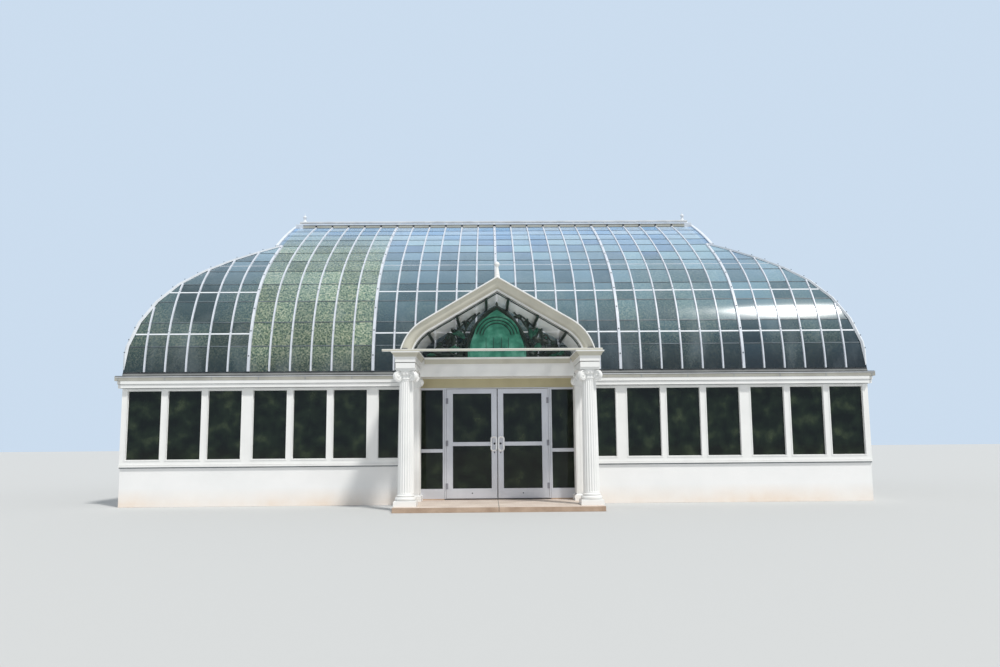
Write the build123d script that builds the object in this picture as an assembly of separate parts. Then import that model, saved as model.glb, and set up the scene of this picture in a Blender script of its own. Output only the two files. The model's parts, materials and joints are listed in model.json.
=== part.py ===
"""Glass greenhouse with a curved, hipped glass roof and a columned porch.

Millimetres, +Z up. The origin is at the centre of the main plan, on the ground.
X runs along the long front, and the front with its porch faces -Y.
"""

import os
from math import asin, cos, hypot, pi, radians, sin, sqrt, tan

from build123d import *

# Plan of the glasshouse
BAY = 2438.4
PANES_PER_BAY = 6
BAY_COUNT = 6
DEPTH_BAY_COUNT = 4
HIP_BAY_COUNT = 1
WALL_FRAME_THICK = 100.0
BASE_WALL_THICK = 250.0
BASE_WALL_RECESS = 15.0

# Heights above the ground, and members under the spring of the roof
FLOOR_TOP = 110.0
BASE_WALL_TOP = 758.0
SILL_HEIGHT = 136.0
SPRING_HEIGHT = 2594.0
EAVE_PLATE_HEIGHT = 167.0
WINDOW_HEAD_HEIGHT = 194.0
CUT_PAST = 1.0

# Windows of one bay
WINDOWS_PER_BAY = 3
POST_WIDTH = 222.0
MULLION_WIDTH = 125.0
WINDOW_GLASS_THICK = 6.0
SILL_NOSE_OUT = 28.0
SILL_NOSE_HIGH = 34.0

# Curve of the roof: radii, and the slopes in degrees where they begin and end
CURVE_RADII = (2900.0, 6500.0, 17500.0)
CURVE_SLOPES = (88.5, 40.0, 32.5, 15.0)
ROWS_BELOW_GABLET = 8
ROWS_ABOVE_GABLET = 4
VENT_LENGTH = 780.0
VENT_THICK = 32.0
VENT_LIFT = 78.0
ROOF_GLASS_THICK = 6.0
PANE_GAP = 1.0
HIP_GAP = 4.0
HIP_CAP_SEAT = 0.3
BAR_END_GAP = 10.0
COLLAR_GAP = 14.0
VERGE_OVERHANG = 100.0

# Roof ironwork
RIB_WIDTH = 60.0
RIB_DEPTH = 120.0
HIP_RIB_DEPTH = 110.0
PURLIN_SIZE = 44.0
PURLIN_DROP = 30.0
PURLIN_ROWS = (1, 3, 5)
EAVE_PLATE_THICK = 130.0
COLLAR_DEPTH = 100.0
BAR_WIDTH = 16.0
BAR_HEIGHT = 22.0
MAIN_BAR_WIDTH = 46.0
MAIN_BAR_HEIGHT = 30.0
HIP_CAP_WIDTH = 60.0
HIP_CAP_HEIGHT = 34.0
VERGE_WIDTH = 50.0
VERGE_DEPTH = 150.0
RIDGE_BEAM_WIDTH = 120.0
RIDGE_CAP_WIDTH = 190.0
RIDGE_CAP_HEIGHT = 52.0
RIDGE_CAP_EDGE = 30.0

# Gutters
GUTTER_OUT = 115.0
GUTTER_HEIGHT = 93.0
GUTTER_METAL = 12.0
PORCH_GUTTER_GAP = 5.0

# Porch slab, columns and pilasters
SLAB_TOP = 85.0
SLAB_HALF_WIDTH = 1830.0
SLAB_OUT = 1905.0
COLUMN_X = 1640.0
COLUMN_OUT = 1440.0
PLINTH_SIZE = 400.0
PLINTH_HEIGHT = 96.0
TORUS_RADIUS = 190.0
TORUS_HEIGHT = 92.0
SHAFT_BOTTOM_RADIUS = 145.0
SHAFT_TOP_RADIUS = 122.0
CAPITAL_HEIGHT = 195.0
ABACUS_SIZE = 330.0
ABACUS_HEIGHT = 40.0
VOLUTE_RADIUS = 88.0
VOLUTE_THICK = 60.0
VOLUTE_REACH = 190.0
PILASTER_WIDTH = 300.0
PILASTER_OUT = 380.0
PILASTER_FOOT = 40.0

# Porch entablature
BEAM_DROP = 94.0
BEAM_HEIGHT = 295.0
BEAM_WIDTH = 335.0
PORCH_OUT = 1640.0
CROWN_HEIGHT = 95.0
CROWN_OUT = 56.0
RAIL_HEIGHT = 40.0
RAIL_DEEP = 60.0
RAIL_LEFT_END = 2050.0
RAIL_RIGHT_END = 1860.0
REAR_BEAM_DROP = 159.0
REAR_BEAM_OUT = 480.0

# Porch roof
RAKE_RISE = 1303.0
RAKE_SLOPE = 30.5
RAKE_STRAIGHT = 1330.0
RAKE_CURVE_RADIUS = 870.0
RAKE_CURVE_COUNT = 4
RAKE_DEPTH = 227.0
RAKE_THICK = 170.0
RAKE_NOSE = 70.0
RAKE_NOSE_DEPTH = 90.0
PORCH_GLASS_THICK = 12.0
PORCH_GLASS_COVER = 60.0
PORCH_BAR_PLACES = (210.0, 741.0, 1252.0)
PORCH_BAR_WIDTH = 40.0
PORCH_BAR_DEPTH = 70.0
ROOF_MEETING_GAP = 2.0

# Ornament under the porch roof
MEDALLION_HALF_WIDTH = 590.0
MEDALLION_SHOULDER_RISE = 165.0
MEDALLION_SIDE_X = 430.0
MEDALLION_SIDE_RISE = 625.0
MEDALLION_RISE = 995.0
MEDALLION_THICK = 60.0
MEDALLION_SETBACK = 60.0
SCROLL_BAR = 34.0
SCROLL_RINGS = ((800.0, 200.0), (1140.0, 125.0))
SCROLL_REACH = 1330.0

# Finials
FINIAL_HEIGHT = 250.0
PORCH_FINIAL_HEIGHT = 300.0
FINIAL_BALL_RADIUS = 46.0
FINIAL_SEAT = 60.0
FINIAL_FOOT = 24.0
FINIAL_NECK = 20.0
FINIAL_SPIKE = 70.0

# Entrance
DOOR_FRAME_HALF_WIDTH = 1600.0
DOOR_CLEAR_SHARE = 0.625
JAMB_WIDTH = 62.0
SIDELIGHT_BAR_BOTTOM = 998.0
SIDELIGHT_BAR_HEIGHT = 60.0
SIDELIGHT_PANEL_TOP = 294.0
SIDELIGHT_STILE = 60.0
SIDELIGHT_TOP_RAIL = 20.0
SIDELIGHT_FRAME_THICK = 60.0
DOOR_HEAD_HEIGHT = 195.0
LEAF_SIDE_GAP = 5.0
LEAF_MEETING_GAP = 10.0
LEAF_TOP_GAP = 8.0
LEAF_BOTTOM_GAP = 7.0
LEAF_THICK = 45.0
HINGE_STILE = 122.0
LOCK_STILE = 108.0
TOP_RAIL = 86.0
MID_RAIL_BOTTOM = 1121.0
MID_RAIL_HEIGHT = 68.0
BOTTOM_RAIL = 180.0
DOOR_GLASS_THICK = 8.0
HANDLE_BOTTOM = 1025.0
HANDLE_HEIGHT = 265.0
HANDLE_STANDOFF = 62.0
HANDLE_RADIUS = 11.0
HANDLE_POST_RADIUS = 9.0
HINGE_RADIUS = 9.0
HINGE_LENGTH = 110.0
HINGE_CLEARANCE = 0.3
HINGE_FLAP = 38.0
HINGE_FLAP_THICK = 5.0
HINGE_FROM_END = 230.0

# Sizes that follow from the driving ones
HALF_WIDTH = BAY_COUNT * BAY / 2
HALF_DEPTH = DEPTH_BAY_COUNT * BAY / 2
PANE = BAY / PANES_PER_BAY
HIP_DEPTH = HIP_BAY_COUNT * BAY
GABLET_X = HALF_WIDTH - HIP_DEPTH
GABLET_HALF = HALF_DEPTH - HIP_DEPTH
RIDGE_HALF = RIDGE_BEAM_WIDTH / 2
VERGE_X = GABLET_X + VERGE_OVERHANG
FRONT = -HALF_DEPTH
WINDOW_BOTTOM = BASE_WALL_TOP + SILL_HEIGHT
EAVE_PLATE_BOTTOM = SPRING_HEIGHT - EAVE_PLATE_HEIGHT
WINDOW_TOP = EAVE_PLATE_BOTTOM - WINDOW_HEAD_HEIGHT
DOOR_HEAD_BOTTOM = EAVE_PLATE_BOTTOM - DOOR_HEAD_HEIGHT
DOOR_CLEAR_HALF_WIDTH = DOOR_FRAME_HALF_WIDTH * DOOR_CLEAR_SHARE
REAR_BEAM_BOTTOM = SPRING_HEIGHT - REAR_BEAM_DROP
BEAM_BOTTOM = SPRING_HEIGHT - BEAM_DROP
RAIL_BOTTOM = BEAM_BOTTOM + BEAM_HEIGHT
CROWN_BOTTOM = RAIL_BOTTOM - CROWN_HEIGHT
RAIL_TOP = RAIL_BOTTOM + RAIL_HEIGHT
RAKE_APEX = RAIL_TOP + RAKE_RISE
BEAM_INNER = COLUMN_X - BEAM_WIDTH / 2
BEAM_OUTER = COLUMN_X + BEAM_WIDTH / 2
PORCH_FRONT = FRONT - PORCH_OUT
HINGE_X = DOOR_CLEAR_HALF_WIDTH - LEAF_SIDE_GAP / 2
HINGE_Y = FRONT - sqrt((HINGE_RADIUS + HINGE_CLEARANCE) ** 2 - (LEAF_SIDE_GAP / 2) ** 2)


def block(x0, x1, y0, y1, z0, z1):
    """Box between two corners."""
    middle = Pos((x0 + x1) / 2, (y0 + y1) / 2, (z0 + z1) / 2)
    return middle * Box(abs(x1 - x0), abs(y1 - y0), abs(z1 - z0))


def slab(points, push):
    """Flat polygon of points in space, pushed along a vector."""
    outline = Wire.make_polygon([Vector(*point) for point in points], close=True)
    return Solid.extrude(Face(outline), Vector(*push))


def write(name, solids):
    """Write one node of the part."""
    export_step(Compound(children=list(solids)), f"parts/{name}.step")


def curve_arcs(radii, slopes, start):
    """Tangent arcs: radius, first slope, start depth, start height, length before it."""
    depth, height = start
    length = 0.0
    arcs = []
    for radius, first, last in zip(radii, slopes, slopes[1:]):
        a, b = radians(first), radians(last)
        arcs.append((radius, a, depth, height, length))
        depth += radius * (sin(a) - sin(b))
        height += radius * (cos(b) - cos(a))
        length += radius * (a - b)
    return arcs


ROOF_ARCS = curve_arcs(CURVE_RADII, CURVE_SLOPES, (0.0, SPRING_HEIGHT))


def curve_point(length):
    """Depth and height on the roof's curve, at a length along it from the eave."""
    radius, first, depth, height, begin = [a for a in ROOF_ARCS if a[4] <= length][-1]
    slope = first - (length - begin) / radius
    return depth + radius * (sin(first) - sin(slope)), height + radius * (cos(slope) - cos(first))


def curve_length(depth):
    """Length along the roof's curve to a plan depth behind the wall face."""
    radius, first, start, _, begin = [a for a in ROOF_ARCS if a[2] <= depth][-1]
    slope = asin(sin(first) - (depth - start) / radius)
    return begin + radius * (first - slope)


def even_points(first, last, count):
    """Points on the roof's curve at even lengths, both ends included."""
    return [curve_point(first + (last - first) * i / count) for i in range(count + 1)]


GABLET_LENGTH = curve_length(HIP_DEPTH)
RIDGE_LENGTH = curve_length(HALF_DEPTH)
LOWER_ROWS = even_points(0.0, GABLET_LENGTH, ROWS_BELOW_GABLET)
UPPER_ROWS = even_points(GABLET_LENGTH, RIDGE_LENGTH - VENT_LENGTH, ROWS_ABOVE_GABLET)
ROOF_LINE = LOWER_ROWS + UPPER_ROWS[1:] + [curve_point(RIDGE_LENGTH)]


def offset_line(line, distance):
    """Line of depths and heights moved outwards by a distance, with mitred corners."""
    moved = []
    for i, (depth, height) in enumerate(line):
        before = line[max(i - 1, 0)]
        after = line[min(i + 1, len(line) - 1)]
        first = unit(before, (depth, height)) if i else unit((depth, height), after)
        last = unit((depth, height), after) if i < len(line) - 1 else first
        scale = distance / (1 + first[0] * last[0] + first[1] * last[1])
        moved.append((depth - (first[1] + last[1]) * scale, height + (first[0] + last[0]) * scale))
    return moved


def unit(start, end):
    """Direction from one point to another."""
    run, rise = end[0] - start[0], end[1] - start[1]
    size = hypot(run, rise)
    return run / size, rise / size


def height_at(line, depth):
    """Height of a line at a depth, carried on straight past its ends."""
    spans = list(zip(line, line[1:]))
    span = [s for s in spans if s[0][0] <= depth] or spans[:1]
    (d0, h0), (d1, h1) = span[-1]
    return h0 + (h1 - h0) * (depth - d0) / (d1 - d0)


def depth_at(line, height):
    """Depth of a line at a height, carried on straight past its ends."""
    spans = list(zip(line, line[1:]))
    span = [s for s in spans if s[0][1] <= height] or spans[:1]
    (d0, h0), (d1, h1) = span[-1]
    return d0 + (d1 - d0) * (height - h0) / (h1 - h0)


def part_of_line(line, first, last):
    """Stretch of a line between two depths."""
    inside = [p for p in line if first + 1e-6 < p[0] < last - 1e-6]
    return [(first, height_at(line, first))] + inside + [(last, height_at(line, last))]


def foot_line(line, last):
    """Stretch of a line from the spring of the roof up to a depth."""
    first = depth_at(line, SPRING_HEIGHT)
    return part_of_line(line, first, last)


GLASS_TOP_LINE = offset_line(ROOF_LINE, ROOF_GLASS_THICK)

# The ridge vents hang from the sides of the ridge beam, under its cap
VENT_HINGE = (HALF_DEPTH - RIDGE_HALF, height_at(ROOF_LINE, HALF_DEPTH - RIDGE_HALF))
VENT_FOOT = (ROOF_LINE[-2][0], ROOF_LINE[-2][1] + VENT_LIFT)
VENT_ALONG = unit(VENT_FOOT, VENT_HINGE)
RIDGE_CAP_BOTTOM = VENT_HINGE[1] + VENT_THICK / VENT_ALONG[0] + PANE_GAP


def front_point(x, depth, height):
    """Point of the front slope."""
    return x, FRONT + depth, height


def end_point(y, depth, height):
    """Point of the right-hand end slope."""
    return HALF_WIDTH - depth, y, height


def band(place, across, width, top, bottom):
    """Upright plate between two lines, centred on a place across the slope."""
    outline = [place(across - width / 2, *p) for p in top]
    outline += [place(across - width / 2, *p) for p in reversed(bottom)]
    step = Vector(*place(width, 0, 0)) - Vector(*place(0, 0, 0))
    return slab(outline, (step.X, step.Y, step.Z))


def window_places(first_bay, last_bay, start):
    """Left and right edges of the windows' openings along a wall."""
    clear = (BAY - POST_WIDTH - (WINDOWS_PER_BAY - 1) * MULLION_WIDTH) / WINDOWS_PER_BAY
    places = []
    for bay in range(first_bay, last_bay):
        for i in range(WINDOWS_PER_BAY):
            left = start + bay * BAY + POST_WIDTH / 2 + i * (clear + MULLION_WIDTH)
            places.append((left, left + clear))
    return places


def window_frame(x0, x1, places, nose_x0):
    """Framed wall above the base, along X with its outer face at y = 0."""
    frame = block(x0, x1, 0, WALL_FRAME_THICK, BASE_WALL_TOP, EAVE_PLATE_BOTTOM)
    frame += block(nose_x0, x1, -SILL_NOSE_OUT, 0, BASE_WALL_TOP, BASE_WALL_TOP + SILL_NOSE_HIGH)
    for left, right in places:
        frame -= block(left, right, -CUT_PAST, WALL_FRAME_THICK + CUT_PAST, WINDOW_BOTTOM, WINDOW_TOP)
    return frame


def window_glass(places):
    """Sheets of glass that fill the windows of a wall along X."""
    middle = WALL_FRAME_THICK / 2
    half = WINDOW_GLASS_THICK / 2
    return [
        block(left, right, middle - half, middle + half, WINDOW_BOTTOM, WINDOW_TOP)
        for left, right in places
    ]


def both_sides(solid):
    """A solid of the right-hand side, and its mirror image on the left."""
    return [solid, mirror(solid, Plane.YZ)]


def front_and_back(solids):
    """Solids of the front, and their mirror images at the back."""
    return solids + [mirror(solid, Plane.XZ) for solid in solids]


def make_floor_and_base():
    inner_x = HALF_WIDTH - BASE_WALL_RECESS - BASE_WALL_THICK
    inner_y = HALF_DEPTH - BASE_WALL_RECESS - BASE_WALL_THICK
    outer_x = HALF_WIDTH - BASE_WALL_RECESS
    outer_y = HALF_DEPTH - BASE_WALL_RECESS
    door = DOOR_FRAME_HALF_WIDTH
    write("floor_slab", [block(-inner_x, inner_x, -inner_y, inner_y, 0, FLOOR_TOP)])
    write("door_threshold", [block(-door, door, FRONT, -inner_y, 0, FLOOR_TOP)])
    front = block(door, outer_x, -outer_y, -inner_y, 0, BASE_WALL_TOP)
    write("front_base_walls", both_sides(front))
    write("back_base_wall", [block(-outer_x, outer_x, inner_y, outer_y, 0, BASE_WALL_TOP)])
    side = block(inner_x, outer_x, -inner_y, inner_y, 0, BASE_WALL_TOP)
    write("side_base_walls", both_sides(side))


def make_walls():
    """Windowed walls: the front leaves out the width of the entrance."""
    door = DOOR_FRAME_HALF_WIDTH
    places = window_places(0, BAY_COUNT, -HALF_WIDTH)
    right = [p for p in places if p[0] > door]
    front = Pos(0, FRONT, 0)
    past_pilaster = COLUMN_X + PILASTER_WIDTH / 2
    write("front_window_frames", both_sides(front * window_frame(door, HALF_WIDTH, right, past_pilaster)))
    panes = [front * sheet for sheet in window_glass(right)]
    write("front_window_glass", [half for sheet in panes for half in both_sides(sheet)])

    back = Rot(0, 0, 180) * front
    write("back_window_frame", [back * window_frame(-HALF_WIDTH, HALF_WIDTH, places, -HALF_WIDTH)])
    write("back_window_glass", [back * sheet for sheet in window_glass(places)])

    side = HALF_DEPTH - WALL_FRAME_THICK
    places = window_places(0, DEPTH_BAY_COUNT, -HALF_DEPTH)
    move = Rot(0, 0, 90) * Pos(0, -HALF_WIDTH, 0)
    write("side_window_frames", both_sides(move * window_frame(-side, side, places, -side)))
    panes = [move * sheet for sheet in window_glass(places)]
    write("side_window_glass", [half for sheet in panes for half in both_sides(sheet)])


def gutter_bottom(x0, x1):
    """Bottom of the open trough along X, from the eave plate's face at y = 0 to its front."""
    low = EAVE_PLATE_BOTTOM
    return block(x0, x1, -GUTTER_OUT + GUTTER_METAL, 0, low, low + GUTTER_METAL)


def gutter_front(x0, x1):
    """Front of the open trough along X."""
    low = EAVE_PLATE_BOTTOM
    return block(x0, x1, -GUTTER_OUT, -GUTTER_OUT + GUTTER_METAL, low, low + GUTTER_HEIGHT)


def write_gutters(name, piece, long_reach, end_reach):
    """A piece of the trough along the long sides, clear of the porch, and along the ends."""
    porch_edge = BEAM_OUTER + CROWN_OUT + PORCH_GUTTER_GAP
    front = Pos(0, FRONT, 0)
    back = Rot(0, 0, 180) * front
    right = front * piece(porch_edge, long_reach)
    write(f"long_{name}", both_sides(right) + [back * piece(-long_reach, long_reach)])
    end = Rot(0, 0, 90) * Pos(0, -HALF_WIDTH, 0)
    write(f"end_{name}", both_sides(end * piece(-end_reach, end_reach)))


def make_eaves():
    thick = EAVE_PLATE_THICK
    low, high = EAVE_PLATE_BOTTOM, SPRING_HEIGHT
    long_plate = block(-HALF_WIDTH, HALF_WIDTH, FRONT, FRONT + thick, low, high)
    write("long_eave_plates", front_and_back([long_plate]))
    side = HALF_DEPTH - thick
    end_plate = block(HALF_WIDTH - thick, HALF_WIDTH, -side, side, low, high)
    write("end_eave_plates", both_sides(end_plate))

    inner = GUTTER_OUT - GUTTER_METAL
    write_gutters("gutters", gutter_bottom, HALF_WIDTH + inner, HALF_DEPTH)
    write_gutters("gutter_fronts", gutter_front, HALF_WIDTH + GUTTER_OUT, HALF_DEPTH + inner)


RIB_INNER_LINE = offset_line(ROOF_LINE, -RIB_DEPTH)


def arch(x0, x1):
    """Rib from the front eave over to the back eave, between two places along X."""
    outer = foot_line(ROOF_LINE, HALF_DEPTH - RIDGE_HALF)
    inner = foot_line(RIB_INNER_LINE, HALF_DEPTH)
    outline = [(x0, FRONT + d, h) for d, h in outer]
    outline += [(x0, -FRONT - d, h) for d, h in reversed(outer)]
    outline += [(x0, -FRONT - d, h) for d, h in inner]
    outline += [(x0, FRONT + d, h) for d, h in reversed(inner[:-1])]
    return slab(outline, (x1 - x0, 0, 0))


def end_rib(y):
    """Rib of the right-hand end slope, from the eave up to the gablet."""
    outer = foot_line(ROOF_LINE, HIP_DEPTH)
    inner = foot_line(RIB_INNER_LINE, HIP_DEPTH)
    return band(end_point, y, RIB_WIDTH, outer, inner)


def hip_band(top, bottom, width, inwards):
    """Upright plate in the plane of the hip at the front right corner."""
    side = width / 2 / sqrt(2)
    outline = [(d + inwards, h) for d, h in top + bottom[::-1]]
    points = [(HALF_WIDTH - d - side, FRONT + d - side, h) for d, h in outline]
    return slab(points, (2 * side, 2 * side, 0))


def hip_rib():
    """Rib under the hip at the front right corner, its edges against the glass."""
    last = HIP_DEPTH + RIB_WIDTH
    outer = foot_line(ROOF_LINE, last)
    inner = foot_line(offset_line(ROOF_LINE, -HIP_RIB_DEPTH), last)
    rib = hip_band(outer, inner, RIB_WIDTH, RIB_WIDTH / 2 / sqrt(2))
    return rib & block(GABLET_X, HALF_WIDTH, FRONT, -GABLET_HALF, 0, ROOF_LINE[-1][1])


def four_corners(solid):
    """A solid of the front right corner, repeated at the other three."""
    return front_and_back(both_sides(solid))


def make_ribs():
    half = RIB_WIDTH / 2
    bays = int(round(GABLET_X / BAY))
    write("main_arches", [arch(i * BAY - half, i * BAY + half) for i in range(1 - bays, bays)])
    write("gablet_arches", both_sides(arch(GABLET_X - RIB_WIDTH, GABLET_X)))
    corner = GABLET_HALF - half
    ribs = [end_rib(y) for y in (-corner, 0, corner)]
    write("end_ribs", [half for rib in ribs for half in both_sides(rib)])
    write("hip_ribs", four_corners(hip_rib()))


def purlin(place, first, last, row):
    """Purlin under the middle of a row of panes, between two places across the slope."""
    (d0, h0), (d1, h1) = ROOF_LINE[row], ROOF_LINE[row + 1]
    along = unit((d0, h0), (d1, h1))
    middle = ((d0 + d1) / 2, (h0 + h1) / 2)
    half = PURLIN_SIZE / 2
    corners = []
    for side, drop in ((-half, 0), (half, 0), (half, PURLIN_SIZE), (-half, PURLIN_SIZE)):
        reach = drop + PURLIN_DROP
        depth = middle[0] + along[0] * side + along[1] * reach
        height = middle[1] + along[1] * side - along[0] * reach
        corners.append(place(first, depth, height))
    step = Vector(*place(last, 0, 0)) - Vector(*place(first, 0, 0))
    return slab(corners, (step.X, step.Y, step.Z))


def make_purlins():
    half = RIB_WIDTH / 2
    bays = int(round(GABLET_X / BAY))
    front = []
    ends = []
    for row in PURLIN_ROWS:
        for bay in range(-bays, bays):
            first = bay * BAY + (RIB_WIDTH if bay == -bays else half)
            last = (bay + 1) * BAY - (RIB_WIDTH if bay == bays - 1 else half)
            front.append(purlin(front_point, first, last, row))
        ends.append(purlin(end_point, -GABLET_HALF + RIB_WIDTH, -half, row))
        ends.append(purlin(end_point, half, GABLET_HALF - RIB_WIDTH, row))
    solids = front_and_back(front) + [half for solid in ends for half in both_sides(solid)]
    write("roof_purlins", solids)


def glass_row(place, row, low_half, high_half, head_gap=PANE_GAP):
    """One row of the roof's glass, laid outwards from the ribs."""
    (d0, h0), (d1, h1) = ROOF_LINE[row], ROOF_LINE[row + 1]
    along = unit((d0, h0), (d1, h1))
    low = (d0 + along[0] * PANE_GAP, h0 + along[1] * PANE_GAP)
    high = (d1 - along[0] * head_gap, h1 - along[1] * head_gap)
    outline = [place(-low_half, *low), place(low_half, *low)]
    outline += [place(high_half, *high), place(-high_half, *high)]
    out = Vector(*place(0, -along[1], along[0])) - Vector(*place(0, 0, 0))
    push = out * ROOF_GLASS_THICK
    return slab(outline, (push.X, push.Y, push.Z))


def make_roof_glass():
    front = []
    end = []
    for row in range(ROWS_BELOW_GABLET):
        low, high = [ROOF_LINE[i][0] + HIP_GAP for i in (row, row + 1)]
        front.append(glass_row(front_point, row, HALF_WIDTH - low, HALF_WIDTH - high))
        head_gap = COLLAR_GAP if row == ROWS_BELOW_GABLET - 1 else PANE_GAP
        end.append(glass_row(end_point, row, HALF_DEPTH - low, HALF_DEPTH - high, head_gap))
    for row in range(ROWS_BELOW_GABLET, ROWS_BELOW_GABLET + ROWS_ABOVE_GABLET):
        front.append(glass_row(front_point, row, VERGE_X, VERGE_X))
    write("front_roof_glass", front)
    write("back_roof_glass", [mirror(solid, Plane.XZ) for solid in front])
    write("end_roof_glass", [half for solid in end for half in both_sides(solid)])


def bar(place, k, to_hip, highest):
    """Glazing bar on the outside of the glass, up a slope to the hip's cap or to a depth."""
    main = k % PANES_PER_BAY == 0
    width = MAIN_BAR_WIDTH if main else BAR_WIDTH
    height = MAIN_BAR_HEIGHT if main else BAR_HEIGHT
    last = min(to_hip - HIP_CAP_WIDTH / sqrt(2) - width / 2 - BAR_END_GAP, highest)
    top = part_of_line(offset_line(ROOF_LINE, ROOF_GLASS_THICK + height), 0.0, last)
    bottom = part_of_line(GLASS_TOP_LINE, 0.0, last)
    return band(place, k * PANE, width, top, bottom)


def make_roof_bars():
    vent_depth = ROOF_LINE[-2][0]
    front = []
    count = BAY_COUNT * PANES_PER_BAY // 2
    for k in range(1 - count, count):
        across = abs(k) * PANE
        to_hip = HALF_WIDTH - across if across > GABLET_X - PANE / 2 else HALF_WIDTH
        front.append(bar(front_point, k, to_hip, vent_depth))
    write("long_roof_bars", front_and_back(front))

    end = []
    count = DEPTH_BAY_COUNT * PANES_PER_BAY // 2
    for k in range(1 - count, count):
        end.append(bar(end_point, k, HALF_DEPTH - abs(k) * PANE, HIP_DEPTH - MAIN_BAR_WIDTH))
    write("end_roof_bars", [half for solid in end for half in both_sides(solid)])


def front_roof_block(out):
    """Everything between the eaves' level and the front slope, moved out by a distance."""
    line = foot_line(offset_line(ROOF_LINE, out), HALF_DEPTH) + [(HALF_DEPTH, SPRING_HEIGHT)]
    return slab([(-HALF_WIDTH, FRONT + d, h) for d, h in line], (2 * HALF_WIDTH, 0, 0))


def end_roof_block(out):
    """The same under the right-hand end slope."""
    line = foot_line(offset_line(ROOF_LINE, out), HALF_DEPTH) + [(HALF_DEPTH, SPRING_HEIGHT)]
    return slab([(HALF_WIDTH - d, FRONT, h) for d, h in line], (0, 2 * HALF_DEPTH, 0))


def make_hips_and_verges():
    last = HIP_DEPTH - HIP_CAP_WIDTH / 2
    top = part_of_line(offset_line(ROOF_LINE, ROOF_GLASS_THICK + HIP_CAP_HEIGHT), 0.0, last)
    bottom = part_of_line(GLASS_TOP_LINE, 0.0, last)
    inwards = HIP_GAP / 2 - HIP_CAP_SEAT
    write("hip_caps", four_corners(hip_band(top, bottom, HIP_CAP_WIDTH, inwards)))

    out = ROOF_GLASS_THICK + MAIN_BAR_HEIGHT
    top = part_of_line(offset_line(ROOF_LINE, out), HIP_DEPTH, HALF_DEPTH)
    bottom = part_of_line(offset_line(ROOF_LINE, -VERGE_DEPTH), HIP_DEPTH, HALF_DEPTH)
    outline = [(VERGE_X, FRONT + d, h) for d, h in top]
    outline += [(VERGE_X, -FRONT - d, h) for d, h in top[::-1][1:]]
    outline += [(VERGE_X, -FRONT - d, h) for d, h in bottom]
    outline += [(VERGE_X, FRONT + d, h) for d, h in bottom[::-1][1:]]
    board = slab(outline, (VERGE_WIDTH, 0, 0)) - end_roof_block(ROOF_GLASS_THICK + MAIN_BAR_HEIGHT)
    room = 2 * RIDGE_CAP_WIDTH
    board -= block(0, HALF_WIDTH, -room, room, RIDGE_CAP_BOTTOM, RIDGE_CAP_BOTTOM + room)
    write("verge_boards", both_sides(board))


def make_gablets():
    """Vertical glazing above the end slopes, inside the outermost arches."""
    top = LOWER_ROWS[-1][1]
    line = RIB_INNER_LINE
    ends = [(HALF_DEPTH - depth_at(line, z), z) for z in (top - COLLAR_DEPTH, top)]
    outline = [(GABLET_X, -y, z) for y, z in ends] + [(GABLET_X, y, z) for y, z in ends[::-1]]
    write("gablet_collars", both_sides(slab(outline, (-RIB_WIDTH, 0, 0))))

    edge = part_of_line(line, depth_at(line, top), HALF_DEPTH)
    x = GABLET_X - RIB_WIDTH / 2
    outline = [(x, FRONT + d, h) for d, h in edge]
    outline += [(x, -FRONT - d, h) for d, h in edge[::-1][1:]]
    write("gablet_glass", both_sides(slab(outline, (ROOF_GLASS_THICK, 0, 0))))


def make_ridge():
    low = VENT_HINGE[1]
    write("ridge_beam", [block(-VERGE_X, VERGE_X, -RIDGE_HALF, RIDGE_HALF, low, RIDGE_CAP_BOTTOM)])
    half = RIDGE_CAP_WIDTH / 2
    end = VERGE_X + VERGE_WIDTH
    shoulder = RIDGE_CAP_BOTTOM + RIDGE_CAP_EDGE
    peak = RIDGE_CAP_BOTTOM + RIDGE_CAP_HEIGHT
    section = [(-half, RIDGE_CAP_BOTTOM), (-half, shoulder), (-FINIAL_SEAT, peak)]
    section += [(-y, z) for y, z in section[::-1]]
    write("ridge_cap", [slab([(-end, y, z) for y, z in section], (2 * end, 0, 0))])

    across, up = VENT_ALONG
    top_edge = (VENT_HINGE[0], VENT_HINGE[1] + VENT_THICK / across)
    low_edge = (VENT_FOOT[0] - up * VENT_THICK, VENT_FOOT[1] + across * VENT_THICK)
    outline = [front_point(-VERGE_X, *p) for p in (VENT_FOOT, VENT_HINGE, top_edge, low_edge)]
    write("ridge_vents", front_and_back([slab(outline, (2 * VERGE_X, 0, 0))]))


def turned(outline):
    """Solid turned about the Z axis from half its outline."""
    face = Face(Wire.make_polygon([Vector(r, 0, z) for r, z in outline], close=True))
    return Solid.revolve(face, 360, Axis.Z)


def finial(height):
    """Finial with a ball and a spike, standing on z = 0."""
    ball = FINIAL_BALL_RADIUS
    centre = height - FINIAL_SPIKE - ball
    outline = [(0, 0), (FINIAL_SEAT, 0), (FINIAL_SEAT, FINIAL_FOOT)]
    outline += [(FINIAL_NECK, 2 * FINIAL_FOOT), (FINIAL_NECK, centre - ball / 2)]
    outline += [(ball, centre), (FINIAL_NECK, centre + ball), (0, height)]
    return turned(outline)


def make_finials():
    top = RIDGE_CAP_BOTTOM + RIDGE_CAP_HEIGHT
    write("ridge_finials", both_sides(Pos(VERGE_X - FINIAL_SEAT, 0, top) * finial(FINIAL_HEIGHT)))
    y = PORCH_FRONT + RAKE_THICK / 2
    half = FINIAL_SEAT
    seat = RAKE_APEX - half * tan(radians(RAKE_SLOPE))
    stem = Pos(0, y, seat) * finial(PORCH_FINIAL_HEIGHT + RAKE_APEX - seat)
    write("porch_finial", [stem - chevron(rake_line(), inner_rake(RAKE_DEPTH), PORCH_FRONT, RAKE_THICK)])


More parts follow.
